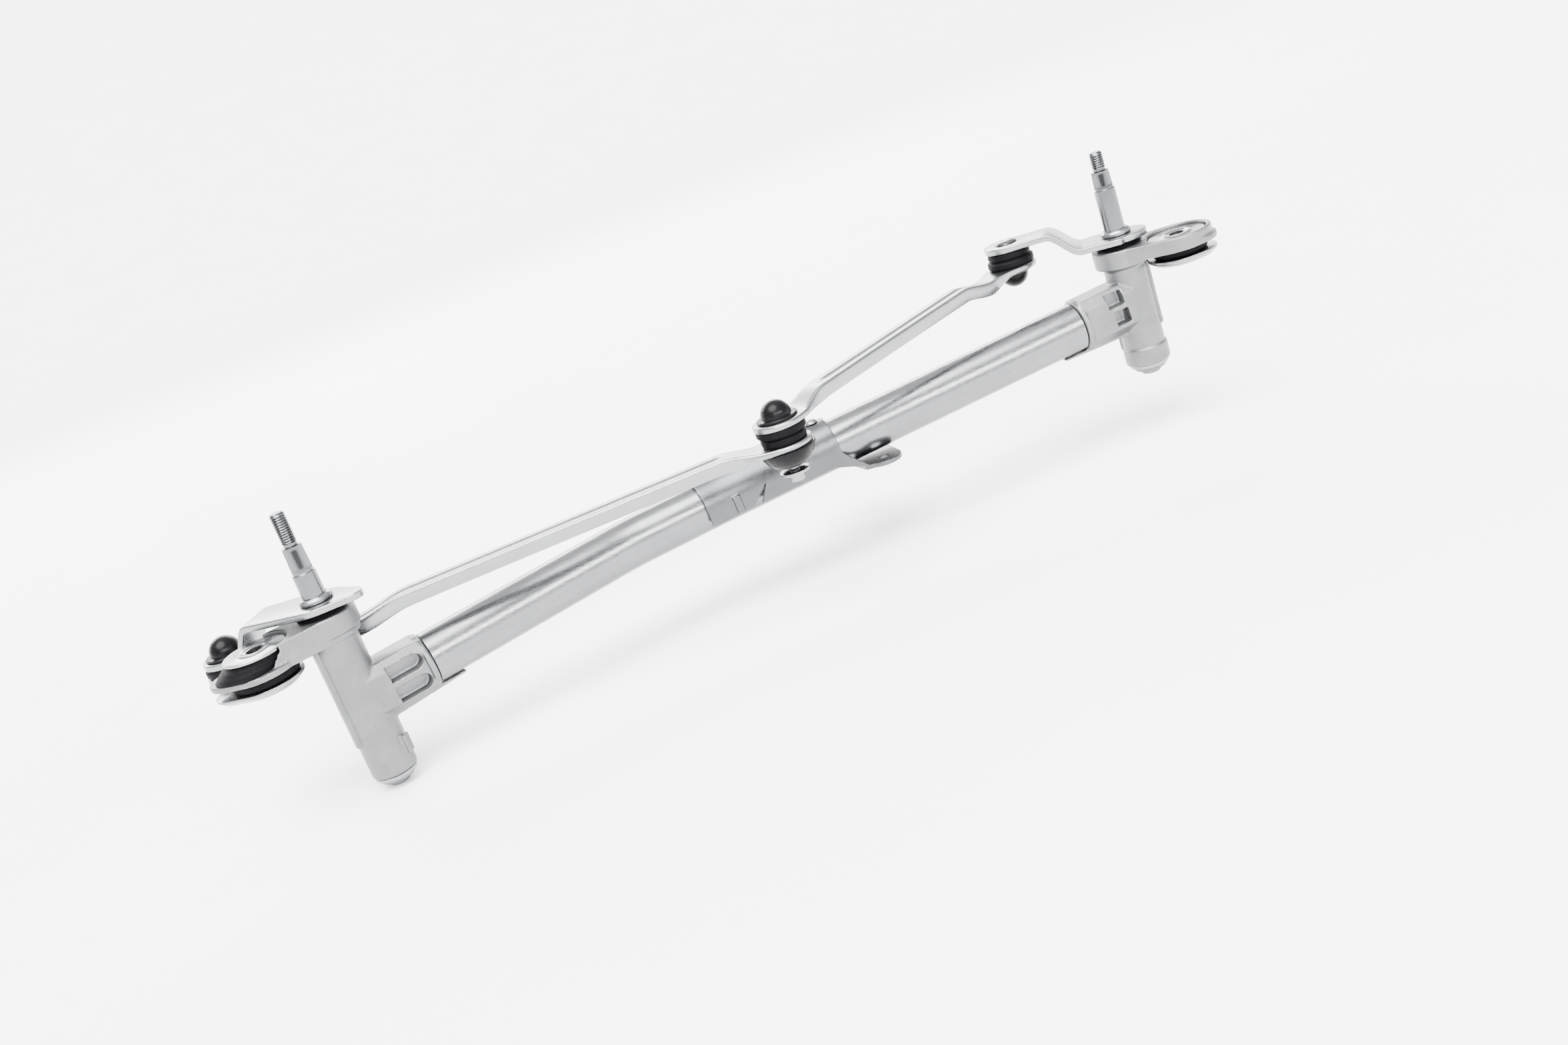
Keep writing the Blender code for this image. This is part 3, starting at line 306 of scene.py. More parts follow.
def rounded(profile, radius, steps=3):
    """Closed (r, z) outline with each corner off the axis turned into a small arc."""
    out, n = [], len(profile)
    for i in range(n):
        p = Vector(profile[i])
        if p.x < 1e-6:
            out.append(p)
            continue
        a, b = Vector(profile[i - 1]) - p, Vector(profile[(i + 1) % n]) - p
        corner = a.angle(b, math.pi)
        if corner > math.radians(165.0):
            out.append(p)
            continue
        t = min(radius / math.tan(corner / 2.0), a.length * 0.42, b.length * 0.42)
        start, end = p + a.normalized() * t, p + b.normalized() * t
        for k in range(steps + 1):
            u = k / steps
            out.append(start * (1 - u) ** 2 + p * (2 * u * (1 - u)) + end * u * u)
    return out


def turned(profile, at=(0.0, 0.0, 0.0), segments=ROUND, flip=False, shape=None):
    """Revolve a closed outline; shape(angle, r, z) may add to the radius."""
    verts, rings = [], []
    sign = -1.0 if flip else 1.0
    for radius, height in profile:
        if radius < 1e-6:
            rings.append([len(verts)])
            verts.append((at[0], at[1], at[2] + sign * height))
            continue
        rings.append(list(range(len(verts), len(verts) + segments)))
        for i in range(segments):
            a = 2.0 * math.pi * i / segments
            r = radius + (shape(a, radius, height) if shape else 0.0)
            verts.append((at[0] + r * math.cos(a), at[1] + r * math.sin(a), at[2] + sign * height))
    faces = []
    for k, ring in enumerate(rings):
        other = rings[(k + 1) % len(rings)]
        if len(ring) == 1 and len(other) == 1:
            continue
        for i in range(segments):
            j = (i + 1) % segments
            loop = [ring[i % len(ring)], ring[j % len(ring)]]
            loop += [other[j % len(other)], other[i % len(other)]]
            faces.append(list(dict.fromkeys(loop)))
    return mesh_object("tool", verts, faces)


def washer_profile(r_in, r_out, low, high, fillet):
    return rounded([(r_in, low), (r_out, low), (r_out, high), (r_in, high)], fillet)


def cylinder(radius, low, high, at=(0.0, 0.0, 0.0), segments=64):
    return turned([(0.0, low), (radius, low), (radius, high), (0.0, high)], at, segments)


def slab(outline, low, high):
    """Outline in X and Y pulled up from low to high."""
    n = len(outline)
    verts = [(x, y, low) for x, y in outline] + [(x, y, high) for x, y in outline]
    faces = [list(range(n)), list(range(n, 2 * n))]
    faces += [[i, (i + 1) % n, n + (i + 1) % n, n + i] for i in range(n)]
    return mesh_object("tool", verts, faces)


def arc(centre, radius, start, end, steps):
    return [(centre[0] + radius * math.cos(start + (end - start) * i / steps),
             centre[1] + radius * math.sin(start + (end - start) * i / steps)) for i in range(steps + 1)]


def belt(c0, r0, c1, r1, steps=48):
    """Outline of a belt pulled round two circles."""
    dx, dy = c1[0] - c0[0], c1[1] - c0[1]
    heading = math.atan2(dy, dx)
    turn = math.acos((r0 - r1) / math.hypot(dx, dy))
    points = arc(c0, r0, heading + turn, heading + 2.0 * math.pi - turn, steps)
    return points + arc(c1, r1, heading - turn, heading + turn, steps)


def moved(obj, matrix):
    obj.data.transform(matrix)
    if matrix.determinant() < 0.0:
        obj.data.flip_normals()
    return obj


def in_triangles(obj):
    bm = bmesh.new()
    bm.from_mesh(obj.data)
    bmesh.ops.triangulate(bm, faces=bm.faces)
    bm.to_mesh(obj.data)
    bm.free()


def settle(obj):
    """Apply an object's modifiers to its mesh."""
    bpy.context.view_layer.update()
    deps = bpy.context.evaluated_depsgraph_get()
    mesh = bpy.data.meshes.new_from_object(obj.evaluated_get(deps))
    obj.modifiers.clear()
    old, obj.data = obj.data, mesh
    bpy.data.meshes.remove(old)
    return obj


def drop(obj):
    data = obj.data
    bpy.data.objects.remove(obj)
    bpy.data.meshes.remove(data)


def cut(obj, *tools):
    """Cut each tool out of the object and drop the tool."""
    for tool in tools:
        in_triangles(obj)
        in_triangles(tool)
        mod = obj.modifiers.new("step", "BOOLEAN")
        mod.operation, mod.solver, mod.object = "DIFFERENCE", "EXACT", tool
        settle(obj)
        drop(tool)
    return obj


def fused(parts, voxel, smooth):
    """Melt overlapping closed shapes into one skin with soft inside and outside corners."""
    bm = bmesh.new()
    for part in parts:
        bm.from_mesh(part.data)
    mesh = bpy.data.meshes.new("fused")
    bm.to_mesh(mesh)
    bm.free()
    for part in parts:
        drop(part)
    obj = bpy.data.objects.new("fused", mesh)
    bpy.context.scene.collection.objects.link(obj)
    mod = obj.modifiers.new("skin", "REMESH")
    mod.mode, mod.voxel_size, mod.adaptivity = "VOXEL", voxel, 0.0
    mod = obj.modifiers.new("soft", "SMOOTH")
    mod.factor, mod.iterations = 0.5, smooth
    return settle(obj)


def smooth_step(t):
    t = min(max(t, 0.0), 1.0)
    return t * t * (3.0 - 2.0 * t)


def angles(first, last, count):
    return [first + (last - first) * i / count for i in range(count + 1)]


def tube_frame(start, end):
    """Frame at start with X towards end and Z as upright as it can be."""
    x_axis = (end - start).normalized()
    y_axis = Vector((0.0, 0.0, 1.0)).cross(x_axis).normalized()
    rotation = Matrix((x_axis, y_axis, x_axis.cross(y_axis))).transposed().to_4x4()
    return Matrix.Translation(start) @ rotation


QUARTER_X = Matrix.Rotation(math.radians(90.0), 4, "X")
QUARTER_Y = Matrix.Rotation(math.radians(90.0), 4, "Y")


# ---- levers and link rods --------------------------------------------------------------
def round_end(distance, radius):
    d = min(max(distance, 0.0), radius)
    return math.sqrt(max(radius * radius - (radius - d) ** 2, 0.0))


def corner(across, up, w, t, turn, radius, steps=3):
    """Small arc round one corner of a strip's section; turn is the arc's first angle."""
    r = min(radius, w * 0.45)
    cx = w - r if math.cos(turn + math.pi / 4.0) > 0.0 else -w + r
    cz = t - r if math.sin(turn + math.pi / 4.0) > 0.0 else -t + r
    return [across * (cx + r * math.cos(a)) + up * (cz + r * math.sin(a))
            for a in angles(turn, turn + math.pi / 2.0, steps)]


def strip_path(start, heading, stations, heights):
    along = Vector((math.cos(heading), math.sin(heading), 0.0))
    across = Vector((-along.y, along.x, 0.0))
    points = [start + along * s + Vector((0.0, 0.0, z)) for s, z in zip(stations, heights)]
    normals = []
    for i in range(len(points)):
        tangent = points[min(i + 1, len(points) - 1)] - points[max(i - 1, 0)]
        normal = tangent.cross(across).normalized()
        normals.append(normal if normal.z > 0.0 else -normal)
    return points, normals, across


def fine_stations(first, last, tip_r):
    """Stations packed closely at both round ends and evenly between them."""
    ends = [tip_r * (1.0 - math.cos(a)) for a in angles(0.06, math.pi / 2.0, 14)]
    middle_first, middle_last = first + tip_r, last - tip_r
    count = max(int((middle_last - middle_first) / 1.6), 8)
    body = [middle_first + (middle_last - middle_first) * i / count for i in range(1, count)]
    return [first + d for d in ends] + body + [last - d for d in reversed(ends)]


def lever(side):
    """Pressed lever: a hub on the shaft, a short tail behind it and a stepped arm to the ball."""
    hub_r, end_r, tail, tip_r = LEVER_HUB_R, LEVER_END_R, side["tail"], side["tip_r"]
    bend_0, bend_1 = side["bend"]
    last = REACH_LENGTH + end_r
    stations = fine_stations(-tail, last, min(tip_r, end_r))
    heights = [side["drop"] * smooth_step((s - bend_0) / (bend_1 - bend_0)) for s in stations]
    widths = []
    for s in stations:
        taper = LEVER_WIDE - LEVER_TAPER * smooth_step((s - 8.0) / 40.0)
        if s < 0.0:
            width = tip_r + (hub_r - tip_r) * smooth_step((s + tail - 3.0) / (tail - 3.0))
            width = min(width, round_end(s + tail, tip_r)) if s < -tail + tip_r else width
        elif s > REACH_LENGTH:
            width = round_end(last - s, end_r)
        else:
            blend_end = smooth_step((s - REACH_LENGTH + LEVER_BLEND) / LEVER_BLEND)
            blend_hub = 1.0 - smooth_step(s / LEVER_BLEND)
            width = taper + (end_r - taper) * blend_end + (hub_r - taper) * blend_hub
        widths.append(width)
    points, normals, across = strip_path(side["at"], LEVER_ANGLE, stations, heights)
    sections = []
    for point, normal, width in zip(points, normals, widths):
        ring = []
        for k in range(4):
            ring += corner(across, normal, width, LEVER_T / 2.0, k * math.pi / 2.0, LEVER_EDGE_R)
        sections.append([point + p for p in ring])
    obj = ladder(sections)
    hole_r = SOCKET_HOLE_R if side is LEFT else STUD_HOLE_R
    reach = abs(side["drop"]) + 12.0
    cut(obj, cylinder(SHAFT_R + FIT, -5.0, 5.0, side["at"], ROUND),
        cylinder(hole_r, -reach, reach, side["at"] + REACH, ROUND))
    name = side["name"] + "_lever"
    place(obj, name + "_pressed", side["name"] + "_pivot", "sheet", "zinc_steel", [name], 40.0)


def link(name, start, end, holes, crown, ramp_start, ramp_end, body):
    """Pressed link rod: round pads, a rolled-edge channel between them and a raised bead."""
    pad_r = LINK_PAD_R
    run = Vector((end[0] - start[0], end[1] - start[1], 0.0))
    length, heading = run.length, math.atan2(run.y, run.x)
    stations = fine_stations(-pad_r, length + pad_r, pad_r)
    heights, shapes = [], []
    for s in stations:
        inset = min(s, length - s)
        lift = crown * smooth_step((s - ramp_start[0]) / (ramp_start[1] - ramp_start[0]))
        lift *= smooth_step((length - s - ramp_end[0]) / (ramp_end[1] - ramp_end[0]))
        level = min(max((s - LINK_FLAT) / (length - 2.0 * LINK_FLAT), 0.0), 1.0)
        heights.append(start[2] + (end[2] - start[2]) * level + lift)
        waist = LINK_HALF_W - LINK_WAIST * math.sin(math.pi * min(max(s / length, 0.0), 1.0))
        width = waist + (pad_r - waist) * (1.0 - smooth_step(inset / LINK_FLARE))
        if inset < 0.0:
            width = round_end(inset + pad_r, pad_r)
        depth = 0.1 + LINK_WALL_H * smooth_step((inset - LINK_FLAT) / 16.0)
        bead = LINK_BEAD_H * smooth_step((inset - 30.0) / 10.0)
        shapes.append((width, depth, bead))
    points, normals, across = strip_path(Vector((start[0], start[1], 0.0)), heading, stations, heights)
    sections = []
    for point, up, (width, depth, bead) in zip(points, normals, shapes):
        wall = min(LINK_WALL_T, 0.45 * width)
        top, low = LINK_T / 2.0, -LINK_T / 2.0 - depth
        r = min(LINK_EDGE_R, width * 0.4)
        right = [(width - r + r * math.sin(a), top - r + r * math.cos(a))
                 for a in angles(0.0, math.pi / 2.0, 4)]
        right += [(width, low + 0.5), (width - 0.4, low), (width - wall + 0.3, low)]
        right += [(width - wall, low + 0.4), (width - wall, -LINK_T / 2.0 - 0.05)]
        hump = [(x * width, top - bead * (0.5 + 0.5 * math.cos(math.pi * min(abs(x) / 0.3, 1.0))))
                for x in (-0.6, -0.3, -0.2, -0.1, 0.0, 0.1, 0.2, 0.3, 0.6)]
        outline = hump + right + [(-y, z) for y, z in reversed(right)]
        sections.append([point + across * y + up * z for y, z in outline])
    obj = ladder(sections)
    low, high = min(start[2], end[2]) - 12.0, max(start[2], end[2]) + 12.0
    cut(obj, cylinder(holes[0], low, high, (start[0], start[1], 0.0), ROUND),
        cylinder(holes[1], low, high, (end[0], end[1], 0.0), ROUND))
    place(obj, name + "_pressed", body, "sheet", "zinc_steel", [name], 40.0)


# ---- ball joints -----------------------------------------------------------------------
def socket(name, ball_z, at, plate_t, body, flip=False):
    """Moulded dome snapped through a plate, round the ball."""
    r, low = 8.2, -BALL_LIFT - plate_t
    profile = [(0.0, r)] + [(r * math.sin(a), r * math.cos(a)) for a in angles(0.0, math.pi / 2.0, 22)[1:]]
    profile += [(r + 0.25, -0.15), (r + 0.7, -0.32), (10.6, -0.36), (11.0, -0.7), (11.0, -1.4)]
    profile += [(10.8, -1.6), (8.9, -1.6), (8.9, low - 0.2), (9.7, low - 0.5), (9.8, low - 0.8)]
    profile += [(9.7, low - 1.3), (8.9, low - 2.1), (6.4, low - 2.1)]
    inner = BALL_R + BALL_PLAY
    profile += [(inner * math.sin(a), inner * math.cos(a)) for a in angles(math.acos(-3.6 / inner), 0.0, 12)]
    profile[-1] = (0.0, inner)
    obj = turned(profile, (at[0], at[1], ball_z), ROUND, flip)
    place(obj, name + "_moulded", body, "plastic", "black_plastic", [name])


def stud(name, ball_z, at, arm_face, arm_t, head, body, flip=False):
    """Ball stud riveted in an arm; head says whether its rivet head shows."""
    neck = BALL_R * 0.52
    start = math.acos(-math.sqrt(1.0 - (neck / BALL_R) ** 2))
    profile = [(BALL_R * math.sin(a), BALL_R * math.cos(a)) for a in angles(0.0, start, 20)]
    profile[0] = (0.0, BALL_R)
    collar = min(1.1, (-BALL_R * 0.9 - arm_face) * 0.6)
    foot, hole = arm_face - arm_t, STUD_HOLE_R - 0.2
    profile += [(neck, arm_face + collar + 0.1), (5.8, arm_face + collar), (6.0, arm_face + collar - 0.1)]
    profile += [(6.0, arm_face + 0.1), (hole, arm_face + 0.1)]
    if head:
        profile += [(hole, foot - 0.1), (6.4, foot - 0.1), (6.6, foot - 0.3), (6.3, foot - 0.9)]
        profile += [(5.4, foot - 1.4), (3.5, foot - 1.85), (2.2, foot - 1.75), (0.0, foot - 1.4)]
    else:
        profile += [(hole, foot + 0.1), (0.0, foot + 0.1)]
    obj = turned(profile, (at[0], at[1], ball_z), ROUND, flip)
    place(obj, name + "_turned", body, "shaft", "shaft_steel", [name])


def seal(name, plate_z, at, height, body, flip=False):
    """Ribbed rubber ring between two plates."""
    g = 0.2
    h = height - 2.0 * g
    profile = [(10.4, 0.0), (12.8, 0.0), (13.5, -1.0), (13.5, -3.3), (12.8, -4.2)]
    if height > 6.0:
        profile += [(11.2, -4.6), (11.2, -5.0), (12.1, -5.4), (12.4, -6.3), (12.1, -h + 0.4)]
        profile += [(11.6, -h), (10.4, -h)]
    else:
        profile += [(12.4, -h), (10.4, -h)]
    profile = rounded([(r, z - g) for r, z in profile], 0.5, 4)
    obj = turned(profile, (at[0], at[1], plate_z), ROUND, flip)
    place(obj, name + "_moulded", body, "rubber", "rubber", [name], 50.0)


def ball_joints():
    drop_ball = LEFT["drop"] + LEVER_T / 2.0 + BALL_LIFT
    socket("left_socket", drop_ball, LEFT_BALL, LEVER_T, "left_pivot")
    face = -BALL_LIFT - LEVER_T - SEAL_SHORT
    stud("left_stud", drop_ball, LEFT_BALL, face, LINK_T, True, "left_link")
    seal("left_seal", LEFT["drop"] - LEVER_T / 2.0, LEFT_BALL, SEAL_SHORT, "left_pivot")
    left_link_z = drop_ball + face - LINK_T / 2.0
    centre_ball = LINK_A_Z + LINK_T / 2.0 + BALL_LIFT
    face = -BALL_LIFT - LINK_T - SEAL_TALL
    socket("centre_socket", centre_ball, PIN, LINK_T, "right_link")
    stud("centre_stud", centre_ball, PIN, face, LINK_T, False, "left_link")
    seal("centre_seal", LINK_A_Z - LINK_T / 2.0, PIN, SEAL_TALL, "right_link")
    right_ball = RIGHT_RISE + RIGHT["drop"] - LEVER_T / 2.0 + face
    socket("right_socket", right_ball, RIGHT_BALL, LINK_T, "right_link", True)
    stud("right_stud", right_ball, RIGHT_BALL, face, LEVER_T, True, "right_pivot", True)
    right_link_z = right_ball + BALL_LIFT + LINK_T / 2.0
    seal("right_seal", right_link_z + LINK_T / 2.0, RIGHT_BALL, SEAL_TALL, "right_link", True)
    drive_socket()
    link("left_link", (PIN.x, PIN.y, LINK_B_Z), (LEFT_BALL.x, LEFT_BALL.y, left_link_z),
         (STUD_HOLE_R, STUD_HOLE_R), 4.5, (11.0, 36.0), (66.0, 96.0), "left_link")
    link("right_link", (PIN.x, PIN.y, LINK_A_Z), (RIGHT_BALL.x, RIGHT_BALL.y, right_link_z),
         (SOCKET_HOLE_R, SOCKET_HOLE_R), 5.0, (11.0, 31.0), (26.0, 50.0), "right_link")


def drive_socket():
    """Deep bowl under the left link and the loose stud whose ball it holds."""
    top = LINK_B_Z - LINK_T / 2.0 - GAP
    inner = DRIVE_BALL_R + BALL_PLAY
    profile = [(0.0, top), (15.0, top), (15.35, top - 0.2), (15.4, top - 0.5), (15.2, top - 1.2)]
    profile += [(14.2, top - 3.2), (12.6, top - 6.0), (10.6, top - 8.4), (9.0, top - 9.4), (4.7, top - 9.4)]
    bowl = [(inner * math.sin(a), DRIVE_BALL_Z + inner * math.cos(a))
            for a in angles(math.acos(-3.1 / inner), 0.0, 12)]
    bowl[-1] = (0.0, DRIVE_BALL_Z + inner)
    obj = turned(profile + bowl, (PIN.x, PIN.y, 0.0), ROUND)
    place(obj, "drive_socket_moulded", "left_link", "plastic", "black_plastic", ["drive_socket"], 28.0)
    r, z = DRIVE_BALL_R, DRIVE_BALL_Z
    profile = [(r * math.sin(a), z + r * math.cos(a)) for a in angles(0.0, math.radians(148.0), 20)]
    profile[0] = (0.0, z + r)
    profile += [(2.8, -24.6), (7.5, -25.2), (8.1, -25.6), (8.2, -25.9), (8.2, -26.8), (8.0, -27.0)]
    profile += [(4.2, -27.2), (4.2, -31.0), (3.6, -31.6), (0.0, -31.6)]
    obj = turned(profile, (PIN.x, PIN.y, 0.0), ROUND)
    place(obj, "drive_stud_turned", "left_link", "turned", "shaft_steel", ["drive_stud"])


# ---- pivot housings --------------------------------------------------------------------
def block(x0, x1, y0, y1, z0, z1):
    return slab([(x0, y0), (x1, y0), (x1, y1), (x0, y1)], z0, z1)


def pocket(x0, x1, z_mid, half, round_far, front):
    outline = [(x0, z_mid - half), (x1, z_mid - half), (x1, z_mid + half), (x0, z_mid + half)]
    if round_far:
        outline = [(x0, z_mid - half)] + arc((x1 - half, z_mid), half, -math.pi / 2, math.pi / 2, 16)
        outline += [(x0, z_mid + half)]
    tool = moved(slab(outline, 5.5, 30.0), QUARTER_X)
    if front > 0.0:
        moved(tool, Matrix.Scale(-1.0, 4, Vector((0.0, 1.0, 0.0))))
    return tool


def leaning_cone(ear, skirt, levels, segments=64):
    sections = []
    for height, radius, share in levels:
        centre = ear + skirt * share
        sections.append([Vector((centre.x + radius * math.cos(a), centre.y + radius * math.sin(a),
                                 ear.z + height)) for a in angles(0.0, 2.0 * math.pi, segments)[:-1]])
    return ladder(sections)


def oval(ear, nose, radius, nose_radius):
    tip = ear + nose
    return belt((ear.x, ear.y), radius, (tip.x, tip.y), nose_radius)


def housing(side):
    """Cast housing: barrel, ear with its ring, ribbed root and collar, as one skin."""
    top, base, head_low = HEAD_TOP, -side["barrel"], HEAD_TOP - 10.0
    foot_r = BARREL_R + side["foot_step"]
    profile = [(0.0, top), (HEAD_R - 0.4, top), (HEAD_R, top - 0.4), (HEAD_R, head_low)]
    profile += [(BARREL_R, head_low - 2.0), (BARREL_R, base + 10.5), (foot_r, base + 9.6)]
    profile += [(foot_r, base + 0.5), (foot_r - 0.5, base), (0.0, base)]
    barrel = turned(profile, segments=ROUND)
    ear = side["ear"]
    ear_low = top - side["ear_t"]
    plate_top = ear_low + EAR_PLATE_T
    arm = slab(belt((0.0, 0.0), HEAD_R - 1.5, (ear.x, ear.y), side["arm_r"]), ear_low, top - 0.15)
    levels = [(plate_top, DISC_R + 1.9, 1.0), (top - 3.3, DISC_R + 1.0, 0.0), (top + 5.0, DISC_R + 1.0, 0.0)]
    cut(arm, leaning_cone(ear, side["skirt"], levels))
    nose_r = side["ring_r"] - side["nose_step"]
    ring = slab(oval(ear, side["nose"], side["ring_r"], nose_r), ear_low + 0.05, plate_top + 0.05)
    for piece in (arm, ring):
        cut(piece, cylinder(GROMMET_HOLE_R, ear_low - 3.0, top + 8.0, ear, ROUND))

    frame_matrix = tube_frame(*side["tube"])
    half_w, low, high = ROOT_HALF_W, ROOT_LOW, ROOT_HIGH
    section = [(-half_w, low + 5.0), (-half_w + 5.0, low), (half_w - 5.0, low), (half_w, low + 5.0)]
    section += [(half_w, high - 5.0), (half_w - 4.0, high), (-half_w + 4.0, high), (-half_w, high - 5.0)]
    root = ladder([[Vector((x, y, z)) for y, z in section] for x in (3.0, ROOT_LENGTH - 2.0)])
    front = -1.0 if frame_matrix.to_3x3().col[1].y > 0.0 else 1.0
    for x0, x1, z_mid in side["pockets"]:
        cut(root, pocket(x0, x1, z_mid, side["pocket_half"], side is LEFT, front))
    rim, inner, end = TUBE_R + 1.3, TUBE_R - TUBE_WALL - GAP, ROOT_LENGTH + 6.0
    collar = [(0.0, ROOT_LENGTH - 3.4), (rim, ROOT_LENGTH - 3.4), (rim, ROOT_LENGTH - 0.9)]
    collar += [(rim - 0.7, ROOT_LENGTH - 0.3), (inner, ROOT_LENGTH - 0.3), (inner, end), (0.0, end)]
    collar = moved(turned(collar, segments=ROUND), QUARTER_Y)
    lip_top = -TUBE_R - 0.4
    lip = [(2.0, -17.6), (ROOT_LENGTH + 14.0, lip_top - 1.2), (ROOT_LENGTH + 14.0, lip_top), (2.0, lip_top)]
    lip = moved(slab(lip, -4.5, 4.5), QUARTER_X)
    parts = [barrel, arm, ring]
    for piece in (root, collar, lip):
        parts.append(moved(piece, Matrix.Translation(-side["at"]) @ frame_matrix))
    lug = block(BARREL_R - 2.0, BARREL_R + 2.6, -2.2, 2.2, base + 8.0, base + 18.0)
    rib = block(BARREL_R - 1.5, BARREL_R + 1.6, -1.6, 1.6, base + 20.0, head_low + 1.0)
    for piece, turn in ((lug, side["lug_turn"]), (rib, side["rib_turn"])):
        parts.append(moved(piece, Matrix.Rotation(math.radians(turn), 4, "Z")))
    body = fused(parts, HOUSING_VOXEL, 3)
    cut(body, cylinder(BORE_R, base - 5.0, 5.0, (0, 0, 0), ROUND))
    moved(body, Matrix.Translation(side["at"]))
    name = side["name"] + "_housing"
    place(body, name + "_cast", "frame", "cast", "cast_aluminium", [name], 50.0)


def knurl(low, high):
    """Fine teeth round the shaft's cone between two heights."""
    def teeth(a, z):
        if not low < z < high:
            return 0.0
        return -KNURL_DEPTH * abs(math.sin(a * KNURL_TEETH / 2.0))
    return teeth


def shaft(side):
    """Wiper shaft: journal, knurled cone, neck and M8 thread."""
    base, shoulder, cone_end = -side["barrel"], side["shoulder"], side["cone_end"]
    profile = [(0.0, base - 7.0), (5.2, base - 7.0), (5.6, base - 6.6), (5.6, base - 4.4), (5.0, base - 4.4)]
    profile += [(5.0, base - 2.95), (SHAFT_R, base - 2.95), (SHAFT_R, shoulder - 0.8)]
    profile += [(SHAFT_R - 0.05, shoulder - 0.5), (SHAFT_R - 0.7, shoulder)]
    steps = 14
    profile += [(SHAFT_R - 0.7 - (SHAFT_R - 5.6) * i / steps, shoulder + (cone_end - shoulder) * i / steps)
                for i in range(1, steps + 1)]
    profile += [(3.5, cone_end + 0.6), (3.4, cone_end + 1.8)]
    start = cone_end + 2.0
    count = int((SHAFT_TIP - 0.9 - start) / (THREAD_PITCH / 8.0))
    profile += [(THREAD_R, start + (SHAFT_TIP - 0.9 - start) * i / count) for i in range(count + 1)]
    profile += [(THREAD_R - 1.0, SHAFT_TIP - 0.1), (THREAD_R - 1.4, SHAFT_TIP), (0.0, SHAFT_TIP)]
    cone = knurl(shoulder + 1.0, cone_end - 0.2)

    def shape(a, radius, z):
        if radius == THREAD_R:
            turn = (z / THREAD_PITCH - a / (2.0 * math.pi)) % 1.0
            return -THREAD_DEPTH * (1.0 - abs(2.0 * turn - 1.0))
        return cone(a, z)
    obj = turned(profile, side["at"], 4 * KNURL_TEETH, shape=shape)
    name = side["name"] + "_shaft"
    place(obj, name + "_ground", side["name"] + "_pivot", "shaft", "shaft_steel", [name], 38.0)


def open_ring(r_in, r_out, low, high, at, gap):
    """Snap ring: a flat ring with an open gap and slightly wider ends."""
    outer = arc((at[0], at[1]), r_out, gap, 2.0 * math.pi - gap, 84)
    inner = arc((at[0], at[1]), r_in, 2.0 * math.pi - gap * 1.15, gap * 1.15, 84)
    obj = slab(outer + inner, low, high)
    mod = obj.modifiers.new("edge", "BEVEL")
    mod.width, mod.segments, mod.limit_method = 0.15, 2, "ANGLE"
    mod.angle_limit = math.radians(50.0)
    return settle(obj)


def shaft_hardware(side):
    """Collar, dust seal, washers, snap ring and the two bushes of one shaft."""
    at, name, base = side["at"], side["name"], -side["barrel"]
    body, r_in = name + "_pivot", SHAFT_R + FIT
    low, high = LEVER_T / 2.0 + GAP, LEVER_T / 2.0 + COLLAR_H
    profile = [(r_in, low), (8.6, low), (8.6, high - 1.3), (7.9, high - 0.5), (7.0, high), (r_in, high)]
    obj = turned(rounded(profile, 0.4), at, ROUND)
    place(obj, name + "_collar_turned", body, "turned", "zinc_steel", [name + "_collar"])
    profile = [(r_in + 0.3, HEAD_TOP + 0.2), (12.5, HEAD_TOP + 0.2), (13.2, HEAD_TOP + 0.9)]
    profile += [(11.6, -3.0), (11.9, -2.6), (10.0, -LEVER_T / 2 - 0.25), (r_in + 0.3, -LEVER_T / 2 - 0.25)]
    obj = turned(rounded(profile, 0.3), at, ROUND)
    place(obj, name + "_dust_seal_moulded", "frame", "rubber", "rubber", [name + "_dust_seal"])
    obj = turned(washer_profile(r_in, 11.4, base - 1.8, base - 0.2, 0.35), at, ROUND)
    place(obj, name + "_thrust_washer_ground", body, "turned", "shaft_steel", [name + "_thrust_washer"])
    wave = turned(washer_profile(r_in, 10.4, base - 2.75, base - 2.1, 0.2), at, ROUND)
    for vert in wave.data.vertices:
        a = math.atan2(vert.co.y - at.y, vert.co.x - at.x)
        vert.co.z += 0.10 * math.cos(3.0 * a)
    place(wave, name + "_wave_washer_pressed", body, "sheet", "zinc_steel", [name + "_wave_washer"])
    clip = open_ring(5.15, 9.0, at.z + base - 4.25, at.z + base - 3.1, at, math.radians(16.0))
    place(clip, name + "_circlip_pressed", body, "shaft", "shaft_steel", [name + "_circlip"])
    for low, word in ((HEAD_TOP - 0.6 - BUSH_LENGTH, "_upper_bush"), (base + 0.6, "_lower_bush")):
        high = low + BUSH_LENGTH
        obj = turned(washer_profile(SHAFT_R + BUSH_RUN, BORE_R - 0.12, low, high, 0.4), at, ROUND)
        place(obj, name + word + "_sintered", "frame", "bronze", "bronze", [name + word])


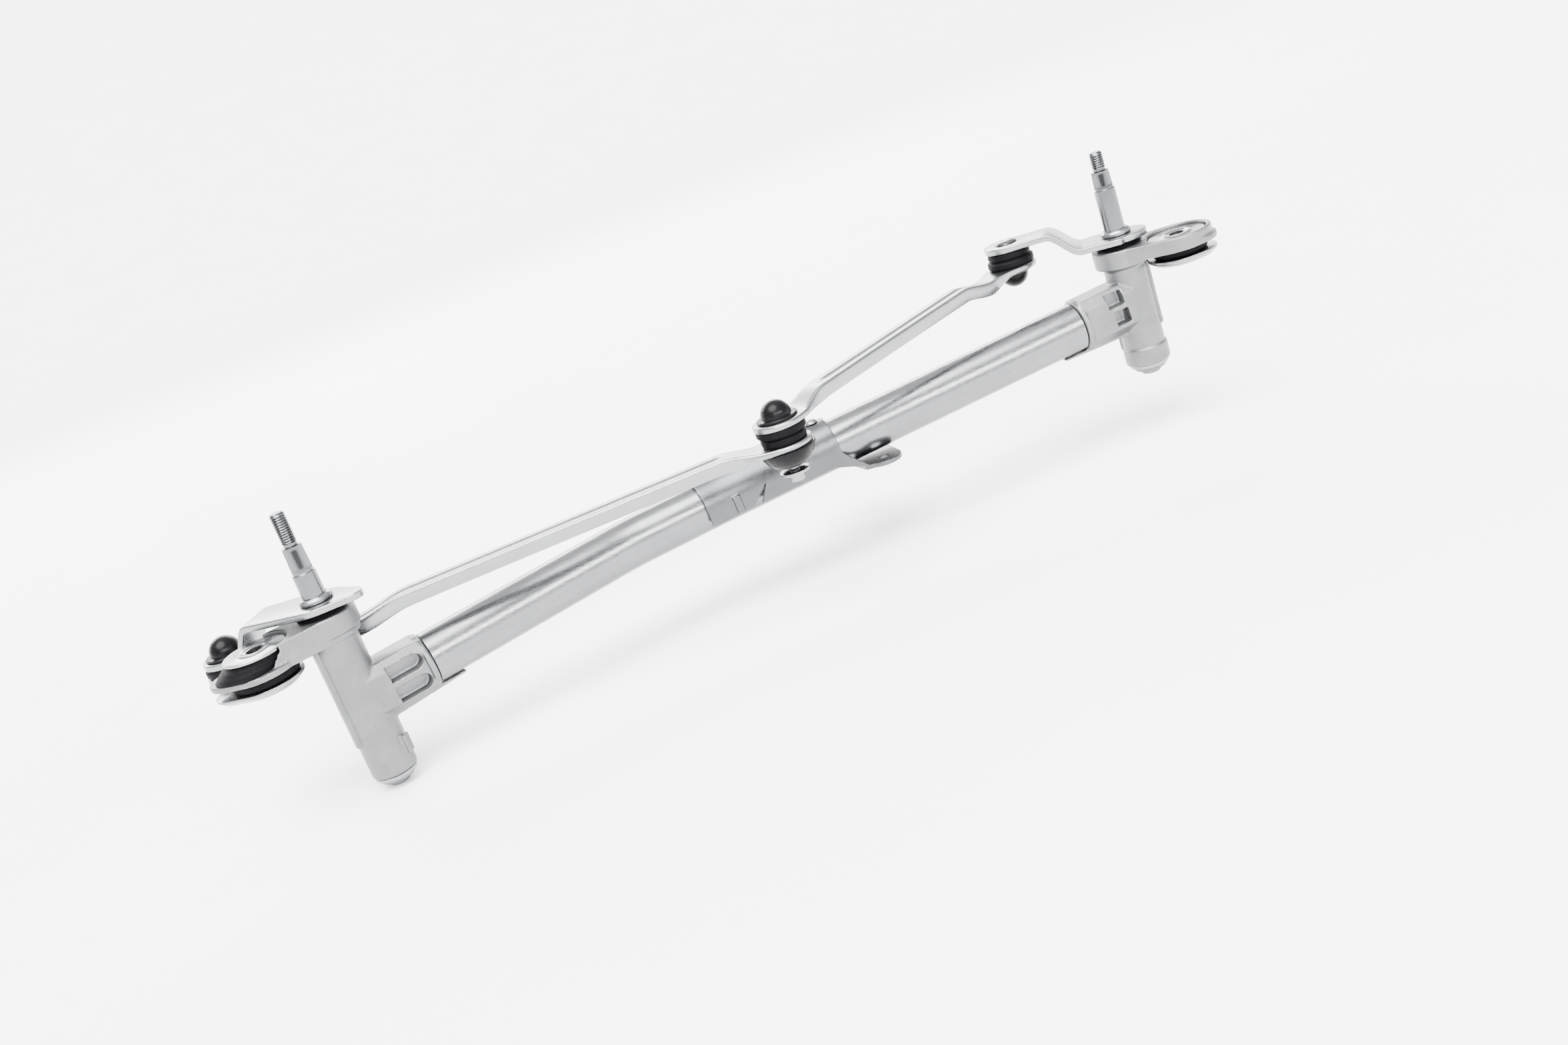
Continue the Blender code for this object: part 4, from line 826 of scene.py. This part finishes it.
def fixing(side):
    """Rubber grommet in the ear, flanged steel sleeve and foot washer."""
    name, ear = side["name"], side["at"] + side["ear"]
    ear_low = HEAD_TOP - side["ear_t"]
    plate_top = ear_low + EAR_PLATE_T
    disc_top = HEAD_TOP - 1.6
    disc_low = disc_top - DISC_T
    low = ear_low - FLANGE_T
    skirt_low, skirt_top = plate_top + 0.25, disc_low - 0.2
    wide, levels = side["skirt_r"], []
    for k in range(13):
        share = 1.0 - k / 12.0
        radius = 14.4 + (wide - 14.4) * math.sin(share * math.pi / 2.0) ** 0.8
        radius -= 0.35 * math.sin(share * math.pi * 3.0) ** 2 * (1.0 if 0.1 < share < 0.9 else 0.0)
        levels.append((skirt_top + (skirt_low - skirt_top) * share, radius, share))
    skirt = leaning_cone(ear, side["skirt"], levels, ROUND)
    flange = side["flange_r"]
    profile = [(0.0, skirt_low + 0.8), (9.7, skirt_low + 0.8), (9.7, ear_low - 0.2)]
    profile += [(flange - 0.6, ear_low - 0.2), (flange, ear_low - 0.9), (flange - 0.1, low + 0.8)]
    profile += [(flange - 1.1, low), (0.0, low)]
    body = fused([skirt, turned(profile, ear, ROUND)], GROMMET_VOXEL, 2)
    cut(body, cylinder(6.15, ear.z + low - 2.0, ear.z + disc_low + 2.0, (ear.x, ear.y, 0.0), ROUND))
    place(body, name + "_grommet_moulded", "frame", "rubber", "rubber", [name + "_grommet"], 50.0)

    foot_top = low - GAP
    foot_low = foot_top - FOOT_T
    profile = [(SLEEVE_BORE_R, disc_top), (SLEEVE_BORE_R, foot_low), (SHAFT_R, foot_low), (SHAFT_R, disc_low)]
    profile += [(DISC_R - 0.3, disc_low), (DISC_R, disc_low + 0.3), (DISC_R, disc_top - 0.3)]
    profile += [(DISC_R - 0.3, disc_top), (9.2, disc_top)]
    profile += [(8.7, disc_top + 0.2), (8.1, disc_top + 0.65), (7.3, disc_top + 0.7), (6.5, disc_top + 0.65)]
    profile += [(5.7, disc_top + 0.15), (5.2, disc_top)]
    obj = turned(profile, ear, ROUND)
    place(obj, name + "_sleeve_turned", "frame", "turned", "zinc_steel", [name + "_sleeve"], 30.0)

    nose_r = FOOT_R - side["nose_step"]
    sections = []
    for height, inset in ((0.0, 3.3), (0.12, 3.0), (2.5, 0.15), (2.75, 0.0), (3.75, 0.0),
                          (3.93, 0.08), (4.0, 0.3)):
        outline = oval(ear, side["nose"], FOOT_R - inset, nose_r - inset)
        sections.append([Vector((x, y, ear.z + foot_low + height)) for x, y in outline])
    foot = cut(ladder(sections), cylinder(6.1, ear.z + foot_low - 2.0, ear.z + foot_top + 2.0,
                                          (ear.x, ear.y, 0.0), ROUND))
    place(foot, name + "_foot_washer_pressed", "frame", "turned", "zinc_steel", [name + "_foot_washer"], 25.0)


# ---- frame tube and motor bracket --------------------------------------------------------
def bent_path(corners, radius, steps_per_bend):
    """Polyline with an arc of the given radius at each inner corner."""
    path = [corners[0]]
    for before, corner_point, after in zip(corners, corners[1:], corners[2:]):
        into, out = (corner_point - before).normalized(), (after - corner_point).normalized()
        turn = into.angle(out)
        start = corner_point - into * radius * math.tan(turn / 2.0)
        centre = corner_point + (out - into).normalized() * (radius / math.cos(turn / 2.0))
        axis = into.cross(out).normalized()
        for i in range(steps_per_bend + 1):
            rotation = Matrix.Rotation(turn * i / steps_per_bend, 4, axis)
            path.append(centre + rotation @ (start - centre))
    path.append(corners[-1])
    return path


def tube_corners():
    ends = [tube_frame(*side["tube"]) @ Vector((ROOT_LENGTH, 0.0, 0.0)) for side in (LEFT, RIGHT)]
    return [ends[0], TUBE_BEND_1, TUBE_BEND_2, ends[1]]


def frame_tube():
    """Hollow tube through both bends, with chamfered ends."""
    path = bent_path(tube_corners(), TUBE_BEND_R, BEND_STEPS)
    chamfer = 0.4
    first, last = (path[1] - path[0]).normalized(), (path[-1] - path[-2]).normalized()
    path.insert(1, path[0] + first * chamfer)
    path.insert(len(path) - 1, path[-1] - last * chamfer)
    loops, inside = [], []
    for i, point in enumerate(path):
        tangent = (path[min(i + 1, len(path) - 1)] - path[max(i - 1, 0)]).normalized()
        across = Vector((0.0, 0.0, 1.0)).cross(tangent).normalized()
        rise = tangent.cross(across)
        outer_r = TUBE_R - (chamfer if i in (0, len(path) - 1) else 0.0)
        for radius, store in ((outer_r, loops), (TUBE_R - TUBE_WALL, inside)):
            store.append([point + (across * math.cos(a) + rise * math.sin(a)) * radius
                          for a in angles(0.0, 2.0 * math.pi, ROUND)[:-1]])
    loops += inside[::-1]
    faces = []
    for k in range(len(loops)):
        a, b = k * ROUND, ((k + 1) % len(loops)) * ROUND
        faces += [[a + i, a + (i + 1) % ROUND, b + (i + 1) % ROUND, b + i] for i in range(ROUND)]
    obj = mesh_object("tube", [p for ring in loops for p in ring], faces)
    place(obj, "frame_tube_drawn", "frame", "tube", "tube_steel", ["frame_tube"])


def saddle_sections(section):
    """The saddle's outline carried along the tube, through its second bend."""
    bend = bent_path(tube_corners(), TUBE_BEND_R, BEND_STEPS)[BEND_STEPS + 2:-1]
    before = (TUBE_BEND_2 - TUBE_BEND_1).normalized()
    after = (tube_corners()[-1] - TUBE_BEND_2).normalized()
    points = [TUBE_BEND_2 - before * SADDLE_BEFORE] + bend + [TUBE_BEND_2 + after * SADDLE_AFTER]
    sections = []
    for i, point in enumerate(points):
        tangent = before.lerp(after, min(max((i - 1) / BEND_STEPS, 0.0), 1.0)).normalized()
        across = Vector((0.0, 0.0, 1.0)).cross(tangent).normalized()
        rise = tangent.cross(across)
        sections.append([point + across * y + rise * z for y, z in section])
    return sections


def upright(outline, y0, y1):
    """Plate drawn in the saddle's side view (x along the tube, z up) between two depths."""
    return moved(moved(slab(outline, -y1, -y0), QUARTER_X), tube_frame(TUBE_BEND_2, TUBE_RIGHT))


def motor_bracket():
    """Stamped bracket: a saddle over the tube, two tabs and a motor plate under it."""
    inner, outer = TUBE_R + GAP, TUBE_R + GAP + SADDLE_T
    saddle = tube_frame(TUBE_BEND_2, TUBE_RIGHT)
    section = [(-inner * math.cos(a), inner * math.sin(a)) for a in angles(0.0, math.pi, 48)]
    section += [(inner, -6.0), (outer, -6.0)]
    section += [(outer * math.cos(a), outer * math.sin(a)) for a in angles(0.0, math.pi, 48)]
    section += [(-outer, -8.0), (-inner, -8.0)]
    parts = [ladder(saddle_sections(section))]
    parts.append(moved(block(4.0, 8.0, -outer - 1.4, -outer + 0.8, -7.2, 2.6), saddle))
    front = [(44.0, -7.0), (44.0, -1.0), (69.5, -1.0), (82.0, -15.8), (64.0, -8.4)]
    back = [(50.0, -1.0), (69.5, -1.0), (82.0, -15.8), (72.0, -15.8)]
    parts += [upright(front, -outer, -inner), upright(back, inner, outer)]
    outline = [(291.5, 30.0), (294.0, 1.6)]
    outline += arc((LUG.x, LUG.y), LUG_R, math.radians(215.0), math.radians(360.0), 40)
    outline += [(LUG.x + LUG_R + 1.5, 30.0)]
    outline += arc((HUB.x, HUB.y), HUB_R, math.radians(-35.0), math.radians(218.0), 72)
    parts.append(slab(outline, PLATE_TOP - PLATE_T, PLATE_TOP))
    body = fused(parts, BRACKET_VOXEL, 2)
    low, high = PLATE_TOP - 8.0, PLATE_TOP + 5.0
    cut(body, cylinder(HUB_HOLE_R, low, high, HUB, ROUND), cylinder(SCREW_R, low, high, LUG, 64))
    for angle in SCREW_ANGLES:
        a = math.radians(angle)
        spot = HUB + Vector((math.cos(a), math.sin(a), 0.0)) * SCREW_CIRCLE_R
        cut(body, cylinder(SCREW_R, low, high, spot, 64))
    notch = [(12.5, -9.0), (18.0, -9.0), (24.5, 1.5), (22.5, 1.5)]
    cut(body, upright(notch, -outer - 2.0, -inner + 3.0))
    # the bracket takes the darkened copy of the zinc finish, which is painted shade
    place(body, "motor_bracket_pressed", "frame", "bracket", "zinc_steel", ["motor_bracket"], 50.0)
    for i, x in enumerate(RIVETS_AT):
        profile = [(0.0, outer + 2.2), (1.2, outer + 2.15), (2.4, outer + 1.8), (3.3, outer + 1.2)]
        profile += [(3.8, outer + 0.5), (3.8, outer + 0.25), (0.0, outer + 0.25)]
        head = moved(turned(profile, (x, 0.0, 0.0), 64), saddle)
        name = "bracket_rivet_%d" % (i + 1)
        place(head, name + "_formed", "frame", "turned", "zinc_steel", [name], 45.0)


# ---- studio ------------------------------------------------------------------------------
# metres; the floor is flat up to FLOOR_FLAT behind the part and curves up beyond it
FLOOR_FRONT, FLOOR_BACK, FLOOR_FLAT = 6.0, 10.0, 3.0
FLOOR_HALF, FLOOR_CURVE, FLOOR_CELLS = 14.0, 0.12, 48
STRIP_SIZE, STRIP_TARGET = (2.6, 0.30), (0.28, 0.0, 0.0)
WORLD_STRENGTH, SKY_STRENGTH, SKY_ANGLE = 3.0, 14.0, math.radians(50.0)
CAMERA_TURN = (-15.1662, 18.1656, 19.5597)   # azimuth, elevation and roll in degrees
CAMERA_AT = Vector((0.0676698, -0.7552727, 0.2245094))
CAMERA_LENS, CAMERA_SENSOR = 35.037, 36.0


def floor():
    """Pale sweep that runs flat under the part and curves up far behind it."""
    low = CAD_BOX[0][2] - 0.0005
    verts = []
    for j in range(FLOOR_CELLS + 1):
        y = -FLOOR_FRONT + (FLOOR_FRONT + FLOOR_BACK) * j / FLOOR_CELLS
        rise = max(y - FLOOR_FLAT, 0.0)
        for i in range(FLOOR_CELLS + 1):
            verts.append((FLOOR_HALF * (2.0 * i / FLOOR_CELLS - 1.0), y, low + FLOOR_CURVE * rise ** 2))
    faces = []
    for j in range(FLOOR_CELLS):
        for i in range(FLOOR_CELLS):
            a = j * (FLOOR_CELLS + 1) + i
            faces.append((a, a + 1, a + FLOOR_CELLS + 2, a + FLOOR_CELLS + 1))
    mesh = bpy.data.meshes.new("floor")
    mesh.from_pydata(verts, [], faces)
    obj = bpy.data.objects.new("floor", mesh)
    bpy.context.scene.collection.objects.link(obj)
    for poly in mesh.polygons:
        poly.use_smooth = True
    mat, tree, shader = nodes_of("pale_floor")
    noise_value = stretched_noise(tree, (1, 1, 1), 6.0, 2.0)
    tree.links.new(ramp(tree, noise_value, [(0.3, (0.90, 0.90, 0.90)), (0.7, (0.93, 0.93, 0.93))]),
                   shader.inputs["Base Color"])
    shader.inputs["Roughness"].default_value = 0.9
    shader.inputs["Specular IOR Level"].default_value = 0.1
    mesh.materials.append(mat)


def light(name, place_at, target, size, power):
    data = bpy.data.lights.new(name, "AREA")
    data.shape, data.size, data.size_y, data.energy = "RECTANGLE", size[0], size[1], power
    obj = bpy.data.objects.new(name, data)
    bpy.context.scene.collection.objects.link(obj)
    obj.location = place_at
    obj.rotation_euler = (Vector(target) - Vector(place_at)).to_track_quat("-Z", "Y").to_euler()


def studio():
    world = bpy.data.worlds.new("studio")
    bpy.context.scene.world = world
    world.use_nodes = True
    tree = world.node_tree
    background = tree.nodes["Background"]
    coords = add(tree, "ShaderNodeTexCoord")
    split = add(tree, "ShaderNodeSeparateXYZ")
    tree.links.new(coords.outputs["Generated"], split.inputs[0])
    shades = [(0.0, (0.5, 0.5, 0.5)), (0.50, (1.0, 1.0, 1.0)), (0.57, (0.72, 0.72, 0.73)),
              (0.70, (0.30, 0.30, 0.31)), (0.84, (0.62, 0.62, 0.63)), (1.0, (1.0, 1.0, 1.0))]
    tree.links.new(ramp(tree, spread(tree, split.outputs["Z"], 0.0, 1.0, -1.0, 1.0), shades),
                   background.inputs["Color"])
    background.inputs["Strength"].default_value = WORLD_STRENGTH
    sun = bpy.data.lights.new("sky", "SUN")
    sun.energy, sun.angle = SKY_STRENGTH, SKY_ANGLE
    obj = bpy.data.objects.new("sky", sun)
    bpy.context.scene.collection.objects.link(obj)
    obj.rotation_euler = (math.radians(18.0), math.radians(-14.0), 0.0)
    light("strip", (0.35, -1.9, 0.85), STRIP_TARGET, STRIP_SIZE, 110.0)
    light("back_strip", (0.2, 1.9, 1.0), STRIP_TARGET, STRIP_SIZE, 80.0)


def camera():
    """Camera that leans with the part's long axis across the frame."""
    azimuth, elevation, roll = (math.radians(v) for v in CAMERA_TURN)
    right = Vector((math.cos(azimuth), math.sin(azimuth), 0.0))
    forward = Vector((-math.sin(azimuth) * math.cos(elevation),
                      math.cos(azimuth) * math.cos(elevation), -math.sin(elevation)))
    down = forward.cross(right)
    side_axis = right * math.cos(roll) + down * math.sin(roll)
    down_axis = -right * math.sin(roll) + down * math.cos(roll)
    matrix = Matrix((side_axis, -down_axis, -forward)).transposed().to_4x4()
    matrix.translation = CAMERA_AT
    data = bpy.data.cameras.new("camera")
    data.sensor_width, data.lens = CAMERA_SENSOR, CAMERA_LENS
    data.clip_start, data.clip_end = 0.01, 50.0
    obj = bpy.data.objects.new("camera", data)
    bpy.context.scene.collection.objects.link(obj)
    obj.matrix_world = matrix
    bpy.context.scene.camera = obj


camera()
studio()
floor()
frame_tube()
motor_bracket()
for half in (LEFT, RIGHT):
    housing(half)
    shaft(half)
    shaft_hardware(half)
    fixing(half)
    lever(half)
ball_joints()
